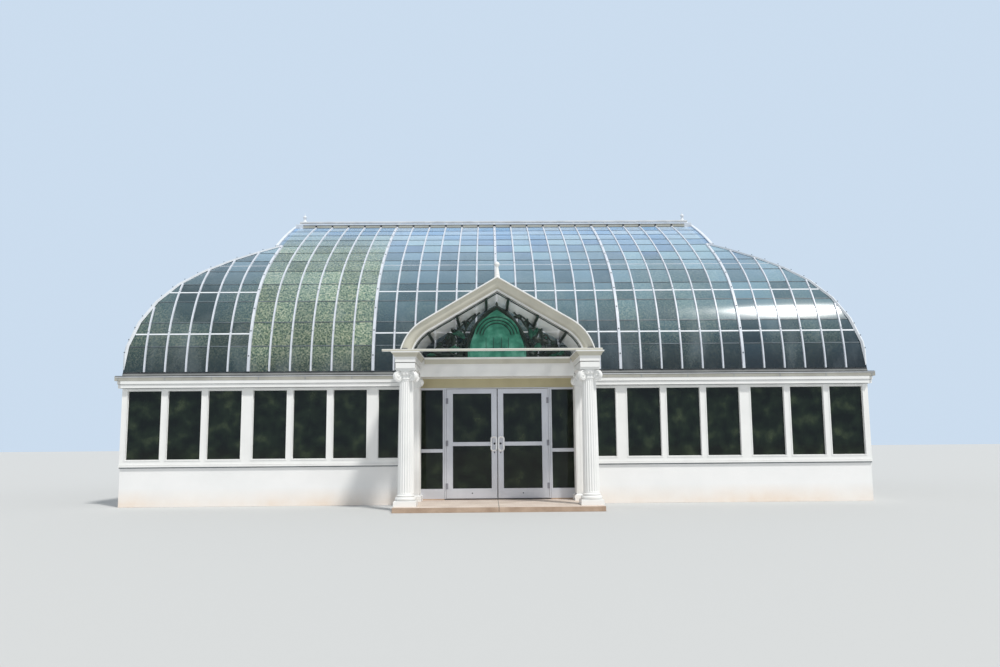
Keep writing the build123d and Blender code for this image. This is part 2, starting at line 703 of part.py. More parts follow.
def column():
    """Column on its plinth, with a scroll at each corner of the capital."""
    half = PLINTH_SIZE / 2
    low = SLAB_TOP + PLINTH_HEIGHT
    high = low + TORUS_HEIGHT
    edge = TORUS_RADIUS - TORUS_HEIGHT / 2
    solid = block(-half, half, -half, half, SLAB_TOP, low)
    outline = [(0, low), (edge, low), (TORUS_RADIUS, low + TORUS_HEIGHT / 2), (edge, high)]
    outline += [(SHAFT_BOTTOM_RADIUS, high), (SHAFT_TOP_RADIUS, BEAM_BOTTOM - CAPITAL_HEIGHT)]
    outline += [(SHAFT_TOP_RADIUS, BEAM_BOTTOM - ABACUS_HEIGHT), (0, BEAM_BOTTOM - ABACUS_HEIGHT)]
    solid += turned(outline)
    half = ABACUS_SIZE / 2
    solid += block(-half, half, -half, half, BEAM_BOTTOM - ABACUS_HEIGHT, BEAM_BOTTOM)
    centre = BEAM_BOTTOM - ABACUS_HEIGHT - VOLUTE_RADIUS
    disc = Rot(90, 0, 0) * Cylinder(VOLUTE_RADIUS, VOLUTE_THICK)
    for angle in (45, 135, 225, 315):
        solid += Pos(0, 0, centre) * Rot(0, 0, angle) * Pos(VOLUTE_REACH, 0, 0) * disc
    return solid


def make_porch_supports():
    half = SLAB_HALF_WIDTH
    write("porch_slab", [block(-half, half, FRONT - SLAB_OUT, FRONT, 0, SLAB_TOP)])
    right = Pos(COLUMN_X, FRONT - COLUMN_OUT, 0) * column()
    write("right_column", [right])
    write("left_column", [mirror(right, Plane.YZ)])
    half = PILASTER_WIDTH / 2
    foot = half + PILASTER_FOOT
    pilaster = block(-half, half, -PILASTER_OUT, 0, SLAB_TOP, REAR_BEAM_BOTTOM)
    low = SLAB_TOP + PLINTH_HEIGHT
    pilaster += block(-foot, half, -PILASTER_OUT - PILASTER_FOOT, 0, SLAB_TOP, low)
    high = REAR_BEAM_BOTTOM - CAPITAL_HEIGHT
    pilaster += block(-half, half, -PILASTER_OUT, 0, high, BEAM_BOTTOM)
    write("pilasters", both_sides(Pos(COLUMN_X, FRONT, 0) * pilaster))


def make_entablature():
    section = [(BEAM_INNER, BEAM_BOTTOM), (BEAM_OUTER, BEAM_BOTTOM), (BEAM_OUTER, CROWN_BOTTOM)]
    section += [(BEAM_OUTER + CROWN_OUT, RAIL_BOTTOM), (BEAM_INNER, RAIL_BOTTOM)]
    glass_roof = front_roof_block(ROOF_GLASS_THICK + MAIN_BAR_HEIGHT + ROOF_MEETING_GAP)
    beam = slab([(x, PORCH_FRONT, z) for x, z in section], (0, PORCH_OUT, 0)) - glass_roof
    write("porch_side_beams", both_sides(beam))
    inner = BEAM_INNER
    y = FRONT - REAR_BEAM_OUT
    rear = block(-inner, inner, y, FRONT, REAR_BEAM_BOTTOM, RAIL_BOTTOM) - glass_roof
    write("porch_rear_beam", [rear])
    y = PORCH_FRONT - RAIL_DEEP
    rail = block(-RAIL_LEFT_END, RAIL_RIGHT_END, y, PORCH_FRONT, RAIL_BOTTOM, RAIL_TOP)
    for cap in both_sides(block(inner, BEAM_OUTER + CROWN_OUT, PORCH_FRONT, FRONT, RAIL_BOTTOM, RAIL_TOP)):
        rail += cap
    write("porch_cap_rail", [rail - glass_roof])


def rake_line():
    """Outer line of the porch roof's right half, from the apex down to the cap rail."""
    slope = radians(RAKE_SLOPE)
    knee = RAKE_APEX - RAKE_STRAIGHT * tan(slope)
    last = pi / 2 - asin(cos(slope) - (knee - RAIL_TOP) / RAKE_CURVE_RADIUS)
    points = [(0.0, RAKE_APEX)]
    for i in range(RAKE_CURVE_COUNT + 1):
        angle = slope + (last - slope) * i / RAKE_CURVE_COUNT
        run = RAKE_CURVE_RADIUS * (sin(angle) - sin(slope))
        fall = RAKE_CURVE_RADIUS * (cos(slope) - cos(angle))
        points.append((RAKE_STRAIGHT + run, knee - fall))
    return points


def inner_rake(distance):
    """The rake line moved inwards, cut at the centre and at the cap rail."""
    moved = offset_line(rake_line(), -distance)
    apex = (0.0, RAKE_APEX - distance / cos(radians(RAKE_SLOPE)))
    (x0, z0), (x1, z1) = moved[-2:]
    foot = (x0 + (x1 - x0) * (z0 - RAIL_TOP) / (z0 - z1), RAIL_TOP)
    return [apex] + moved[1:-1] + [foot]


def chevron(outer, inner, y, push):
    """Both halves of a raking band, in one piece."""
    outline = [(-x, y, z) for x, z in outer[::-1]] + [(x, y, z) for x, z in outer[1:]]
    outline += [(x, y, z) for x, z in inner[::-1]] + [(-x, y, z) for x, z in inner[1:]]
    return slab(outline, (0, push, 0))


def make_porch_roof():
    line = rake_line()
    rake = chevron(line, inner_rake(RAKE_DEPTH), PORCH_FRONT, RAKE_THICK)
    rake += chevron(line, inner_rake(RAKE_NOSE_DEPTH), PORCH_FRONT - RAKE_NOSE, RAKE_NOSE)
    write("raking_cornice", [rake])

    start = PORCH_FRONT + RAKE_THICK
    top = inner_rake(PORCH_GLASS_COVER)
    bottom = inner_rake(PORCH_GLASS_COVER + PORCH_GLASS_THICK)
    glass_roof = front_roof_block(ROOF_GLASS_THICK + MAIN_BAR_HEIGHT + ROOF_MEETING_GAP)
    panels = []
    for i in range(len(top) - 1):
        first, last = [shortened(line[i], line[i + 1]) for line in (top, bottom)]
        outline = [(x, start, z) for x, z in (first[0], first[1], last[1], last[0])]
        panels.append(slab(outline, (0, HALF_DEPTH, 0)) - glass_roof)
    write("porch_roof_glass", [half for panel in panels for half in both_sides(panel)])

    slope = radians(RAKE_SLOPE)
    bars = []
    for x in PORCH_BAR_PLACES:
        height = bottom[0][1] - x * tan(slope)
        half = PORCH_BAR_WIDTH / 2
        rise = half * tan(slope)
        low = height - PORCH_BAR_DEPTH
        section = [(x - half, height + rise), (x + half, height - rise), (x + half, low), (x - half, low)]
        bars.append(slab([(px, start, pz) for px, pz in section], (0, HALF_DEPTH, 0)) - glass_roof)
    write("porch_roof_bars", [half for solid in bars for half in both_sides(solid)])


def shortened(start, end):
    """A span drawn in by the pane gap at each end."""
    along = unit(start, end)
    dx, dz = along[0] * PANE_GAP, along[1] * PANE_GAP
    return (start[0] + dx, start[1] + dz), (end[0] - dx, end[1] - dz)


def make_tympanum():
    """Pointed panel and open scrollwork, standing on the rear beam."""
    y = FRONT - REAR_BEAM_OUT + MEDALLION_SETBACK
    half = [(0, MEDALLION_RISE), (MEDALLION_SIDE_X, MEDALLION_SIDE_RISE)]
    half += [(MEDALLION_HALF_WIDTH, MEDALLION_SHOULDER_RISE), (MEDALLION_HALF_WIDTH, 0)]
    outline = half + [(-x, rise) for x, rise in half[:0:-1]]
    panel = slab([(x, y, RAIL_BOTTOM + rise) for x, rise in outline], (0, MEDALLION_THICK, 0))
    write("medallion_panel", [panel])

    low = RAIL_BOTTOM
    middle = y + MEDALLION_THICK / 2
    thick = SCROLL_BAR
    work = block(MEDALLION_HALF_WIDTH, SCROLL_REACH, middle - thick / 2, middle + thick / 2, low, low + thick)
    for x, radius in SCROLL_RINGS:
        ring = Cylinder(radius, thick) - Cylinder(radius - thick, thick)
        work += Pos(x, middle, low + radius) * Rot(90, 0, 0) * ring
    write("scrollwork", both_sides(work))


def make_entrance():
    thick = SIDELIGHT_FRAME_THICK
    x0, x1 = DOOR_CLEAR_HALF_WIDTH, DOOR_FRAME_HALF_WIDTH
    back = FRONT + WALL_FRAME_THICK
    write("door_head", [block(-x1, x1, FRONT, back, DOOR_HEAD_BOTTOM, EAVE_PLATE_BOTTOM)])
    glass_x0, glass_x1 = x0 + JAMB_WIDTH, x1 - SIDELIGHT_STILE
    bar_top = SIDELIGHT_BAR_BOTTOM + SIDELIGHT_BAR_HEIGHT
    glass_top = DOOR_HEAD_BOTTOM - SIDELIGHT_TOP_RAIL
    frame = block(x0, x1, FRONT, FRONT + thick, FLOOR_TOP, DOOR_HEAD_BOTTOM)
    openings = ((SIDELIGHT_PANEL_TOP, SIDELIGHT_BAR_BOTTOM), (bar_top, glass_top))
    for low, high in openings:
        frame -= block(glass_x0, glass_x1, FRONT - CUT_PAST, FRONT + thick + CUT_PAST, low, high)
    write("sidelight_frames", both_sides(frame))
    y = FRONT + thick / 2 - DOOR_GLASS_THICK / 2
    panes = [block(glass_x0, glass_x1, y, y + DOOR_GLASS_THICK, low, high) for low, high in openings]
    write("sidelight_glass", [half for pane in panes for half in both_sides(pane)])


def hinge(z):
    """Barrel on the right-hand leaf's pivot, with its flap on the face of the leaf."""
    half = HINGE_LENGTH / 2
    x0, x1 = HINGE_X - HINGE_FLAP, DOOR_CLEAR_HALF_WIDTH - LEAF_SIDE_GAP
    barrel = Pos(HINGE_X, HINGE_Y, z) * Cylinder(HINGE_RADIUS, HINGE_LENGTH)
    return barrel + block(x0, x1, FRONT - HINGE_FLAP_THICK, FRONT, z - half, z + half)


def make_doors():
    x0 = LEAF_MEETING_GAP / 2
    x1 = DOOR_CLEAR_HALF_WIDTH - LEAF_SIDE_GAP
    low = FLOOR_TOP + LEAF_BOTTOM_GAP
    high = DOOR_HEAD_BOTTOM - LEAF_TOP_GAP
    leaf = block(x0, x1, FRONT, FRONT + LEAF_THICK, low, high)
    glass_x0, glass_x1 = x0 + LOCK_STILE, x1 - HINGE_STILE
    mid_top = MID_RAIL_BOTTOM + MID_RAIL_HEIGHT
    panes = ((low + BOTTOM_RAIL, MID_RAIL_BOTTOM), (mid_top, high - TOP_RAIL))
    for bottom, top in panes:
        leaf -= block(glass_x0, glass_x1, FRONT - CUT_PAST, FRONT + LEAF_THICK + CUT_PAST, bottom, top)
    y = FRONT + LEAF_THICK / 2 - DOOR_GLASS_THICK / 2
    glass = [block(glass_x0, glass_x1, y, y + DOOR_GLASS_THICK, a, b) for a, b in panes]

    hinges = [hinge(z) for z in (low + HINGE_FROM_END, (low + high) / 2, high - HINGE_FROM_END)]
    x = x0 + LOCK_STILE / 2
    radius = HANDLE_RADIUS
    grip_y = FRONT - HANDLE_STANDOFF
    top = HANDLE_BOTTOM + HANDLE_HEIGHT
    handle = Pos(x, grip_y, (HANDLE_BOTTOM + top) / 2) * Cylinder(radius, HANDLE_HEIGHT)
    for z in (HANDLE_BOTTOM + 2 * radius, top - 2 * radius):
        post = Rot(90, 0, 0) * Cylinder(HANDLE_POST_RADIUS, HANDLE_STANDOFF)
        handle += Pos(x, FRONT - HANDLE_STANDOFF / 2, z) * post
    for name, turn in (("right", lambda s: s), ("left", lambda s: mirror(s, Plane.YZ))):
        write(f"{name}_door_leaf", [turn(leaf)])
        write(f"{name}_door_glass", [turn(pane) for pane in glass])
        write(f"{name}_door_handle", [turn(handle)])
        write(f"{name}_door_hinges", [turn(solid) for solid in hinges])


make_floor_and_base()
make_walls()
make_eaves()
make_ribs()
make_purlins()
make_roof_glass()
make_roof_bars()
make_hips_and_verges()
make_gablets()
make_ridge()
make_finials()
make_porch_supports()
make_entablature()
make_porch_roof()
make_tympanum()
make_entrance()
make_doors()
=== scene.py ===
"""Looks of the glass greenhouse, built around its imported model. Metres, +Z up, the front faces -Y."""

import json
import random
from math import asin, cos, hypot, pi, radians, sin, tan

import bmesh
import bpy
from mathutils import Matrix, Vector


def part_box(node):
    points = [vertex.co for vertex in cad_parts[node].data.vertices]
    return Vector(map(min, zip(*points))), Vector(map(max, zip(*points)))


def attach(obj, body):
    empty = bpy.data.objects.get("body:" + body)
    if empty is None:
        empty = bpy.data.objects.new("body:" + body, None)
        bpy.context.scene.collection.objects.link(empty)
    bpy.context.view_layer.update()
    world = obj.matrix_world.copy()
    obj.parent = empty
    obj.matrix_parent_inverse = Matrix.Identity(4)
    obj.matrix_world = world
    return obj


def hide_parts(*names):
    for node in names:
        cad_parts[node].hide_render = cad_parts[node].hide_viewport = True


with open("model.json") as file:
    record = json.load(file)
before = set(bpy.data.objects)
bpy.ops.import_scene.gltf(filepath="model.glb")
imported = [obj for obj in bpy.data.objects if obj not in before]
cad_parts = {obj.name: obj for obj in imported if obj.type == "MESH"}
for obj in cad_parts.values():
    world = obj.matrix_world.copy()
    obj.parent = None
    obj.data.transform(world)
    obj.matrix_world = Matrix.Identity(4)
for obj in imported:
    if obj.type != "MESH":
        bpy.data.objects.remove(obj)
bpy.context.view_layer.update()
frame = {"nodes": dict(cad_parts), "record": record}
random.seed(7)

# Sizes of the building, as in the part's source
BAY, PANES = 2.4384, 6
PANE = BAY / PANES
HALF_WIDTH, HALF_DEPTH = 3 * BAY, 2 * BAY
FRONT = -HALF_DEPTH
HIP_DEPTH = BAY
GABLET_X = HALF_WIDTH - HIP_DEPTH
GABLET_HALF = HALF_DEPTH - HIP_DEPTH
VERGE_X = GABLET_X + 0.1
SPRING = 2.594
RADII, SLOPES = (2.9, 6.5, 17.5), (88.5, 40.0, 32.5, 15.0)
ROWS_LOW, ROWS_HIGH = 8, 4
VENT_LENGTH, VENT_LIFT, VENT_THICK = 0.78, 0.078, 0.032
WINDOW_LOW, WINDOW_HIGH, PLATE_LOW = 0.894, 2.233, 2.427
POST, MULLION = 0.222, 0.125
DOOR_SIDE = 1.6
COLUMN_X, COLUMN_OUT = 1.64, 1.44
PORCH_FRONT = FRONT - 1.64
BEAM_LOW, RAIL_LOW, RAIL_TOP = 2.5, 2.795, 2.835
BEAM_IN, BEAM_OUT = 1.4725, 1.8075
REAR_Y = FRONT - 0.48
RAKE_APEX, RAKE_SLOPE, RAKE_STRAIGHT, RAKE_RADIUS = 4.138, radians(30.5), 1.33, 0.87
SLAB_TOP = 0.085

SIDES, LONG_SIDES = ("front", "back", "right", "left"), ("front", "back")
# A length that counts as nothing, and the angle above which an edge looks sharp
NEAR, CREASE = 1e-6, radians(32)


# Mesh building
def between(sign, a, b):
    """Two places on the side of the given sign, the lower one first."""
    return sorted((sign * a, sign * b))


def circle(radius, sides, shift=0.0):
    """Points of a circle round the origin, turned by a part of a step."""
    angles = [2 * pi * (i + shift) / sides for i in range(sides)]
    return [(radius * cos(a), radius * sin(a)) for a in angles]


def rectangle(a, b, low, high):
    return [(a, low), (b, low), (b, high), (a, high)]


def borders(x0, x1, z0, z1, wide):
    """Limits of four strips round the inside of an upright rectangle."""
    return ((x0, x1, z0, z0 + wide), (x0, x1, z1 - wide, z1),
            (x0, x0 + wide, z0 + wide, z1 - wide), (x1 - wide, x1, z0 + wide, z1 - wide))


class Soup:
    """Points and faces of one piece."""

    def __init__(self):
        self.points, self.faces, self.slots, self.smooth, self.tints = [], [], [], [], []

    def add(self, points, faces, slot=0, smooth=False, tint=0.5):
        start = len(self.points)
        self.points += [tuple(p) for p in points]
        for face in faces:
            self.faces.append([start + i for i in face])
            self.slots.append(slot)
            self.smooth.append(smooth)
            self.tints.append(tint)

    def box(self, x0, x1, y0, y1, z0, z1, slot=0):
        points = [(x, y, z) for z in (z0, z1) for y in (y0, y1) for x in (x0, x1)]
        faces = [(0, 2, 3, 1), (4, 5, 7, 6), (0, 1, 5, 4), (2, 6, 7, 3), (0, 4, 6, 2), (1, 3, 7, 5)]
        self.add(points, faces, slot)

    def loft(self, rings, slot=0, smooth=False, caps=True, tint=0.5, slots=None):
        """Skin over rings of points; slots gives each side of the section a material of its own."""
        count = len(rings[0])
        faces = []
        for i in range(len(rings) - 1):
            for j in range(count):
                k = (j + 1) % count
                faces.append((i * count + j, i * count + k, (i + 1) * count + k, (i + 1) * count + j))
        self.add([p for ring in rings for p in ring], faces, slot, smooth, tint)
        if slots:
            self.slots[-len(faces):] = list(slots) * (len(rings) - 1)
        if caps:
            self.add(rings[0], [tuple(range(count))[::-1]], slot, False, tint)
            self.add(rings[-1], [tuple(range(count))], slot, False, tint)

    def prism(self, outline, push, tint=0.5):
        move = Vector(push)
        self.loft([outline, [tuple(Vector(p) + move) for p in outline]], tint=tint)

    def make(self, name, materials, slot, body="building", replaces=()):
        mesh = bpy.data.meshes.new(name)
        mesh.from_pydata(self.points, [], self.faces)
        for material in materials:
            mesh.materials.append(material)
        mesh.polygons.foreach_set("material_index", self.slots)
        mesh.polygons.foreach_set("use_smooth", self.smooth)
        layer = mesh.color_attributes.new("tint", "FLOAT_COLOR", "CORNER")
        shades = []
        for face, tint in zip(self.faces, self.tints):
            shade = tint if isinstance(tint, tuple) else grey(tint)
            shades += [*shade, 1.0] * len(face)
        layer.data.foreach_set("color", shades)
        mesh.validate()
        work = bmesh.new()
        work.from_mesh(mesh)
        bmesh.ops.recalc_face_normals(work, faces=work.faces)
        work.to_mesh(mesh)
        work.free()
        mesh.set_sharp_from_angle(angle=CREASE)
        piece = bpy.data.objects.new(name, mesh)
        bpy.context.scene.collection.objects.link(piece)
        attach(piece, body)
        if replaces:
            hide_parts(*replaces)
        return piece


def turned(soup, profile, sides, place, slot=0, smooth=True):
    """Skin over circles, each with a radius and a place on the axis; place(p, q, out) sets them in space."""
    rings = [[place(p, q, out) for p, q in circle(radius, sides)] for radius, out in profile]
    soup.loft(rings, slot, smooth)


def lathe(soup, outline, x, y, sides, flute=None):
    """Upright turned shape from radii and heights; flute gives the radius by height and angle instead."""
    rings = []
    for r, z in outline:
        ring = []
        for i in range(sides):
            angle = 2 * pi * i / sides
            reach = flute(z, angle) if flute else r
            ring.append((x + reach * cos(angle), y + reach * sin(angle), z))
        rings.append(ring)
    soup.loft(rings, smooth=True)


def tube(soup, line, radii, place, sides=8):
    """Round bar along a flat line, with one radius or one for each point; place(u, v, w) sets it in space."""
    if isinstance(radii, float):
        radii = [radii] * len(line)
    rings = []
    for i, (u, v) in enumerate(line):
        before, after = line[max(i - 1, 0)], line[min(i + 1, len(line) - 1)]
        run, rise = after[0] - before[0], after[1] - before[1]
        nu, nv = -rise / hypot(run, rise), run / hypot(run, rise)
        rings.append([place(u + nu * p, v + nv * p, q) for p, q in circle(radii[i], sides)])
    soup.loft(rings, smooth=True)


# Nodes of the materials
def grey(value):
    return (value, value, value)


def nodes_of(name):
    material = bpy.data.materials.new(name)
    material.use_nodes = True
    tree = material.node_tree
    shader = next(n for n in tree.nodes if n.type == "BSDF_PRINCIPLED")
    return material, tree, shader


def feed(tree, socket, value):
    """Links an output to a socket, or sets the socket to a number or a colour."""
    if isinstance(value, bpy.types.NodeSocket):
        tree.links.new(value, socket)
    else:
        socket.default_value = (*value, 1.0) if isinstance(value, tuple) else value


def coat(tree, shader, color, rough):
    feed(tree, shader.inputs["Base Color"], color)
    feed(tree, shader.inputs["Roughness"], rough)


def noise(tree, scale, detail=4.0, stretch=(1, 1, 1)):
    place = tree.nodes.new("ShaderNodeTexCoord")
    mapping = tree.nodes.new("ShaderNodeMapping")
    mapping.inputs["Scale"].default_value = stretch
    cloud = tree.nodes.new("ShaderNodeTexNoise")
    cloud.inputs["Scale"].default_value = scale
    cloud.inputs["Detail"].default_value = detail
    tree.links.new(place.outputs["Object"], mapping.inputs["Vector"])
    tree.links.new(mapping.outputs["Vector"], cloud.inputs["Vector"])
    return cloud.outputs["Fac"]


def ramp(tree, value, stops):
    """Colours by a value; each stop has a place and a colour, or one number for a grey."""
    node = tree.nodes.new("ShaderNodeValToRGB")
    while len(node.color_ramp.elements) < len(stops):
        node.color_ramp.elements.new(0.5)
    for element, (at, color) in zip(node.color_ramp.elements, stops):
        element.position = at
        element.color = (*(color if isinstance(color, tuple) else grey(color)), 1.0)
    tree.links.new(value, node.inputs["Fac"])
    return node.outputs["Color"]


def mix(tree, kind, factor, a, b):
    node = tree.nodes.new("ShaderNodeMix")
    node.data_type = "RGBA"
    node.blend_type = kind
    feed(tree, node.inputs["Factor"], factor)
    for value, name in ((a, "A"), (b, "B")):
        feed(tree, next(s for s in node.inputs if s.name == name and s.type == "RGBA"), value)
    return next(s for s in node.outputs if s.type == "RGBA")


def combine(tree, kind, a, b, clamp=False):
    node = tree.nodes.new("ShaderNodeMath")
    node.operation = kind
    node.use_clamp = clamp
    tree.links.new(a, node.inputs[0])
    tree.links.new(b, node.inputs[1])
    return node.outputs[0]


def height_fade(tree, low, high):
    """Zero at one height and one at another."""
    place = tree.nodes.new("ShaderNodeTexCoord")
    split = tree.nodes.new("ShaderNodeSeparateXYZ")
    span = tree.nodes.new("ShaderNodeMapRange")
    span.inputs["From Min"].default_value = low
    span.inputs["From Max"].default_value = high
    tree.links.new(place.outputs["Object"], split.inputs[0])
    tree.links.new(split.outputs["Z"], span.inputs["Value"])
    return span.outputs["Result"]


def bump(tree, shader, value, strength, distance):
    node = tree.nodes.new("ShaderNodeBump")
    node.inputs["Strength"].default_value = strength
    node.inputs["Distance"].default_value = distance
    tree.links.new(value, node.inputs["Height"])
    tree.links.new(node.outputs["Normal"], shader.inputs["Normal"])


# Materials
def surface(name, light, dark, rough, metallic=0.0, scale=3.0, grain=60.0, depth=0.001):
    """Painted or cast surface: colour variation, fine grain, and streaks down it."""
    material, tree, shader = nodes_of(name)
    color = ramp(tree, noise(tree, scale), [(0.3, dark), (0.62, light)])
    streaks = ramp(tree, noise(tree, 2.0, 6.0, (6, 6, 0.35)), [(0.6, 0.0), (0.85, 0.3)])
    color = mix(tree, "MIX", streaks, color, tuple(c * 0.86 for c in dark))
    roughs = ramp(tree, noise(tree, grain / 3), [(0.3, rough * 0.8), (0.7, min(rough * 1.2, 1.0))])
    coat(tree, shader, color, roughs)
    shader.inputs["Metallic"].default_value = metallic
    bump(tree, shader, noise(tree, grain, 8.0), 0.35, depth)
    return material


def wall_paint():
    """Painted masonry: rough, and warmer with splashed soil towards the ground."""
    material, tree, shader = nodes_of("painted_masonry")
    paint = ramp(tree, noise(tree, 1.4, 6.0), [(0.3, (0.85, 0.85, 0.845)), (0.65, (0.9, 0.895, 0.89))])
    warm = mix(tree, "MIX", noise(tree, 4.0, 8.0), (0.9, 0.84, 0.78), (0.8, 0.66, 0.54))
    splashes = ramp(tree, noise(tree, 0.7, 3.0, (1, 1, 0.2)), [(0.3, 0.35), (0.65, 1.0)])
    soil = mix(tree, "MULTIPLY", 1.0, height_fade(tree, 0.36, 0.06), splashes)
    coat(tree, shader, mix(tree, "MIX", soil, paint, warm), 0.75)
    bump(tree, shader, noise(tree, 45.0, 8.0), 0.5, 0.003)
    return material


def slab_concrete():
    """Concrete with specks, paler on top than on its edges, whose darker colour is painted shade."""
    material, tree, shader = nodes_of("slab_concrete")
    top = ramp(tree, noise(tree, 2.2, 8.0), [(0.3, (0.66, 0.55, 0.47)), (0.68, (0.82, 0.71, 0.62))])
    # Painted shade: darker colour of the edges
    edge = ramp(tree, noise(tree, 4.0, 8.0), [(0.3, (0.4, 0.28, 0.2)), (0.68, (0.6, 0.45, 0.34))])
    painted_shade_facing = tree.nodes.new("ShaderNodeNewGeometry")
    split = tree.nodes.new("ShaderNodeSeparateXYZ")
    tree.links.new(painted_shade_facing.outputs["True Normal"], split.inputs[0])
    specks = ramp(tree, noise(tree, 160.0, 3.0), [(0.35, 0.45), (0.6, 1.0)])
    color = mix(tree, "MULTIPLY", 0.45, mix(tree, "MIX", split.outputs["Z"], edge, top), specks)
    coat(tree, shader, color, 0.88)
    bump(tree, shader, noise(tree, 90.0, 8.0), 0.6, 0.002)
    return material


def roof_glazing_painted_light():
    """Old greenhouse glass: dark near the eaves and in the darker bays as painted shade of the dark inside,
    mottled and mossy in the middle, and pale blue towards the ridge as a painted sky reflection.
    """
    material, tree, shader = nodes_of("roof_glass")
    rise = height_fade(tree, 2.6, 7.0)
    tint = tree.nodes.new("ShaderNodeAttribute")
    tint.attribute_name = "tint"
    parts = tree.nodes.new("ShaderNodeSeparateColor")
    tree.links.new(tint.outputs["Color"], parts.inputs[0])
    # Painted shade of the dark inside near the eaves, and a painted pale blue sky reflection towards the ridge
    color = ramp(tree, rise, [
        (0.03, (0.012, 0.021, 0.03)), (0.14, (0.03, 0.056, 0.078)), (0.32, (0.15, 0.25, 0.31)),
        (0.6, (0.31, 0.47, 0.62)), (0.9, (0.5, 0.73, 1.0))])
    # Painted shade over the lower and middle rows of the darker bays
    painted_shade_amount = mix(tree, "MULTIPLY", 1.0, parts.outputs["Blue"], ramp(tree, rise, [(0.4, 1.0), (0.75, 0.0)]))
    color = mix(tree, "MIX", painted_shade_amount, color, (0.02, 0.04, 0.048))
    moss = ramp(tree, noise(tree, 30.0, 12.0), [
        (0.36, (0.055, 0.105, 0.065)), (0.5, (0.25, 0.335, 0.205)), (0.64, (0.6, 0.63, 0.44))])
    spread = ramp(tree, noise(tree, 0.45, 4.0), [(0.42, 0.0), (0.62, 0.18)])
    cover = combine(tree, "ADD", spread, parts.outputs["Green"], clamp=True)
    band = ramp(tree, rise, [(0.02, 0.3), (0.16, 0.85), (0.66, 0.9), (0.9, 0.0)])
    color = mix(tree, "MIX", mix(tree, "MULTIPLY", 1.0, cover, band), color, moss)
    color = mix(tree, "OVERLAY", 0.6, color, parts.outputs["Red"])
    film = ramp(tree, noise(tree, 1.6, 8.0, (1, 1, 0.4)), [(0.5, 0.0), (0.8, 0.22)])
    color = mix(tree, "MIX", film, color, (0.5, 0.58, 0.62))
    coat(tree, shader, color, 0.13)
    feed(tree, shader.inputs["Alpha"], ramp(tree, rise, [(0.05, 0.86), (0.45, 0.68), (0.95, 0.55)]))
    bump(tree, shader, noise(tree, 1.7, 2.0), 0.1, 0.004)
    return material


def window_glazing_painted_shade():
    """Dark window glass with faint dust and uneven reflections; its near-black colour is painted shade of the
    dark inside.
    """
    material, tree, shader = nodes_of("window_glass")
    color = ramp(tree, noise(tree, 3.5, 9.0), [
        (0.38, (0.003, 0.006, 0.004)), (0.55, (0.01, 0.018, 0.01)), (0.72, (0.04, 0.055, 0.028))])
    coat(tree, shader, color, 0.06)
    shader.inputs["Alpha"].default_value = 0.93
    shader.inputs["Specular IOR Level"].default_value = 0.3
    bump(tree, shader, noise(tree, 1.5, 2.0), 0.08, 0.003)
    return material


def porch_glazing(name, alpha):
    """Obscured white glass over the porch, thin enough for the sun to come through."""
    material, tree, shader = nodes_of(name)
    color = ramp(tree, noise(tree, 2.0, 6.0), [(0.35, (0.86, 0.86, 0.82)), (0.65, (0.94, 0.94, 0.91))])
    coat(tree, shader, color, 0.25)
    shader.inputs["Subsurface Weight"].default_value = 1.0
    shader.inputs["Subsurface Radius"].default_value = (1.0, 1.0, 0.95)
    shader.inputs["Subsurface Scale"].default_value = 0.06
    shader.inputs["Alpha"].default_value = alpha
    return material


def patina():
    """Green copper with darker and paler patches."""
    material, tree, shader = nodes_of("green_patina")
    color = ramp(tree, noise(tree, 5.0, 8.0), [
        (0.3, (0.02, 0.13, 0.085)), (0.5, (0.06, 0.3, 0.2)), (0.72, (0.18, 0.5, 0.37))])
    coat(tree, shader, color, 0.55)
    shader.inputs["Metallic"].default_value = 0.25
    bump(tree, shader, noise(tree, 30.0, 6.0), 0.4, 0.002)
    return material


# Scale of the patches, scale of the grain and depth of the bump on painted iron
IRON_GRAIN = (6.0, 90.0, 0.0006)
white_wood = surface("white_painted_wood", (0.88, 0.88, 0.865), (0.84, 0.84, 0.825), 0.45)
# White paint of the iron greyed and blued, and that of the glazing bars more so: painted shade
white_iron_blue_shade = surface("white_iron_blue_painted_shade", (0.8, 0.83, 0.87), (0.72, 0.75, 0.79), 0.4, 0.0, *IRON_GRAIN)
bar_paint_blue_shade = surface("glazing_bar_blue_painted_shade", (0.69, 0.725, 0.79), (0.58, 0.615, 0.68), 0.4, 0.0, *IRON_GRAIN)
grey_paint = surface("grey_gutter_paint", (0.42, 0.41, 0.36), (0.33, 0.32, 0.28), 0.5)
flashing = surface("flashing_grey", (0.34, 0.35, 0.34), (0.24, 0.25, 0.25), 0.5)
# Lead grey of the ridge cap, and painted highlight on the gutter beads
lead_grey_and_highlight = surface("ridge_lead_and_bead_highlight", (0.6, 0.62, 0.64), (0.46, 0.48, 0.5), 0.45)
aluminium = surface("door_aluminium", (0.68, 0.685, 0.72), (0.59, 0.595, 0.63), 0.36, 0.35, 2.0, 220.0, 0.0003)
steel = surface("satin_chrome", (0.94, 0.94, 0.94), (0.84, 0.84, 0.85), 0.25, 0.25, 8.0, 260.0, 0.0002)
hinge_grey = surface("hinge_grey", (0.32, 0.32, 0.35), (0.22, 0.22, 0.25), 0.4, 0.3, 8.0, 200.0, 0.0002)
leaf_green = surface("leaf_green", (0.035, 0.15, 0.1), (0.008, 0.05, 0.034), 0.5, 0.1, 14.0, 80.0)
black_iron = surface("black_green_iron", (0.035, 0.055, 0.045), (0.01, 0.018, 0.015), 0.45, 0.2, 8.0, 80.0)
# Dark seal colour, also painted shade at the top of the gutters, under the lowest panes and at the ridge
seal_and_shade_dark = surface("seal_and_shade_dark", (0.05, 0.055, 0.06), (0.02, 0.022, 0.024), 0.6)
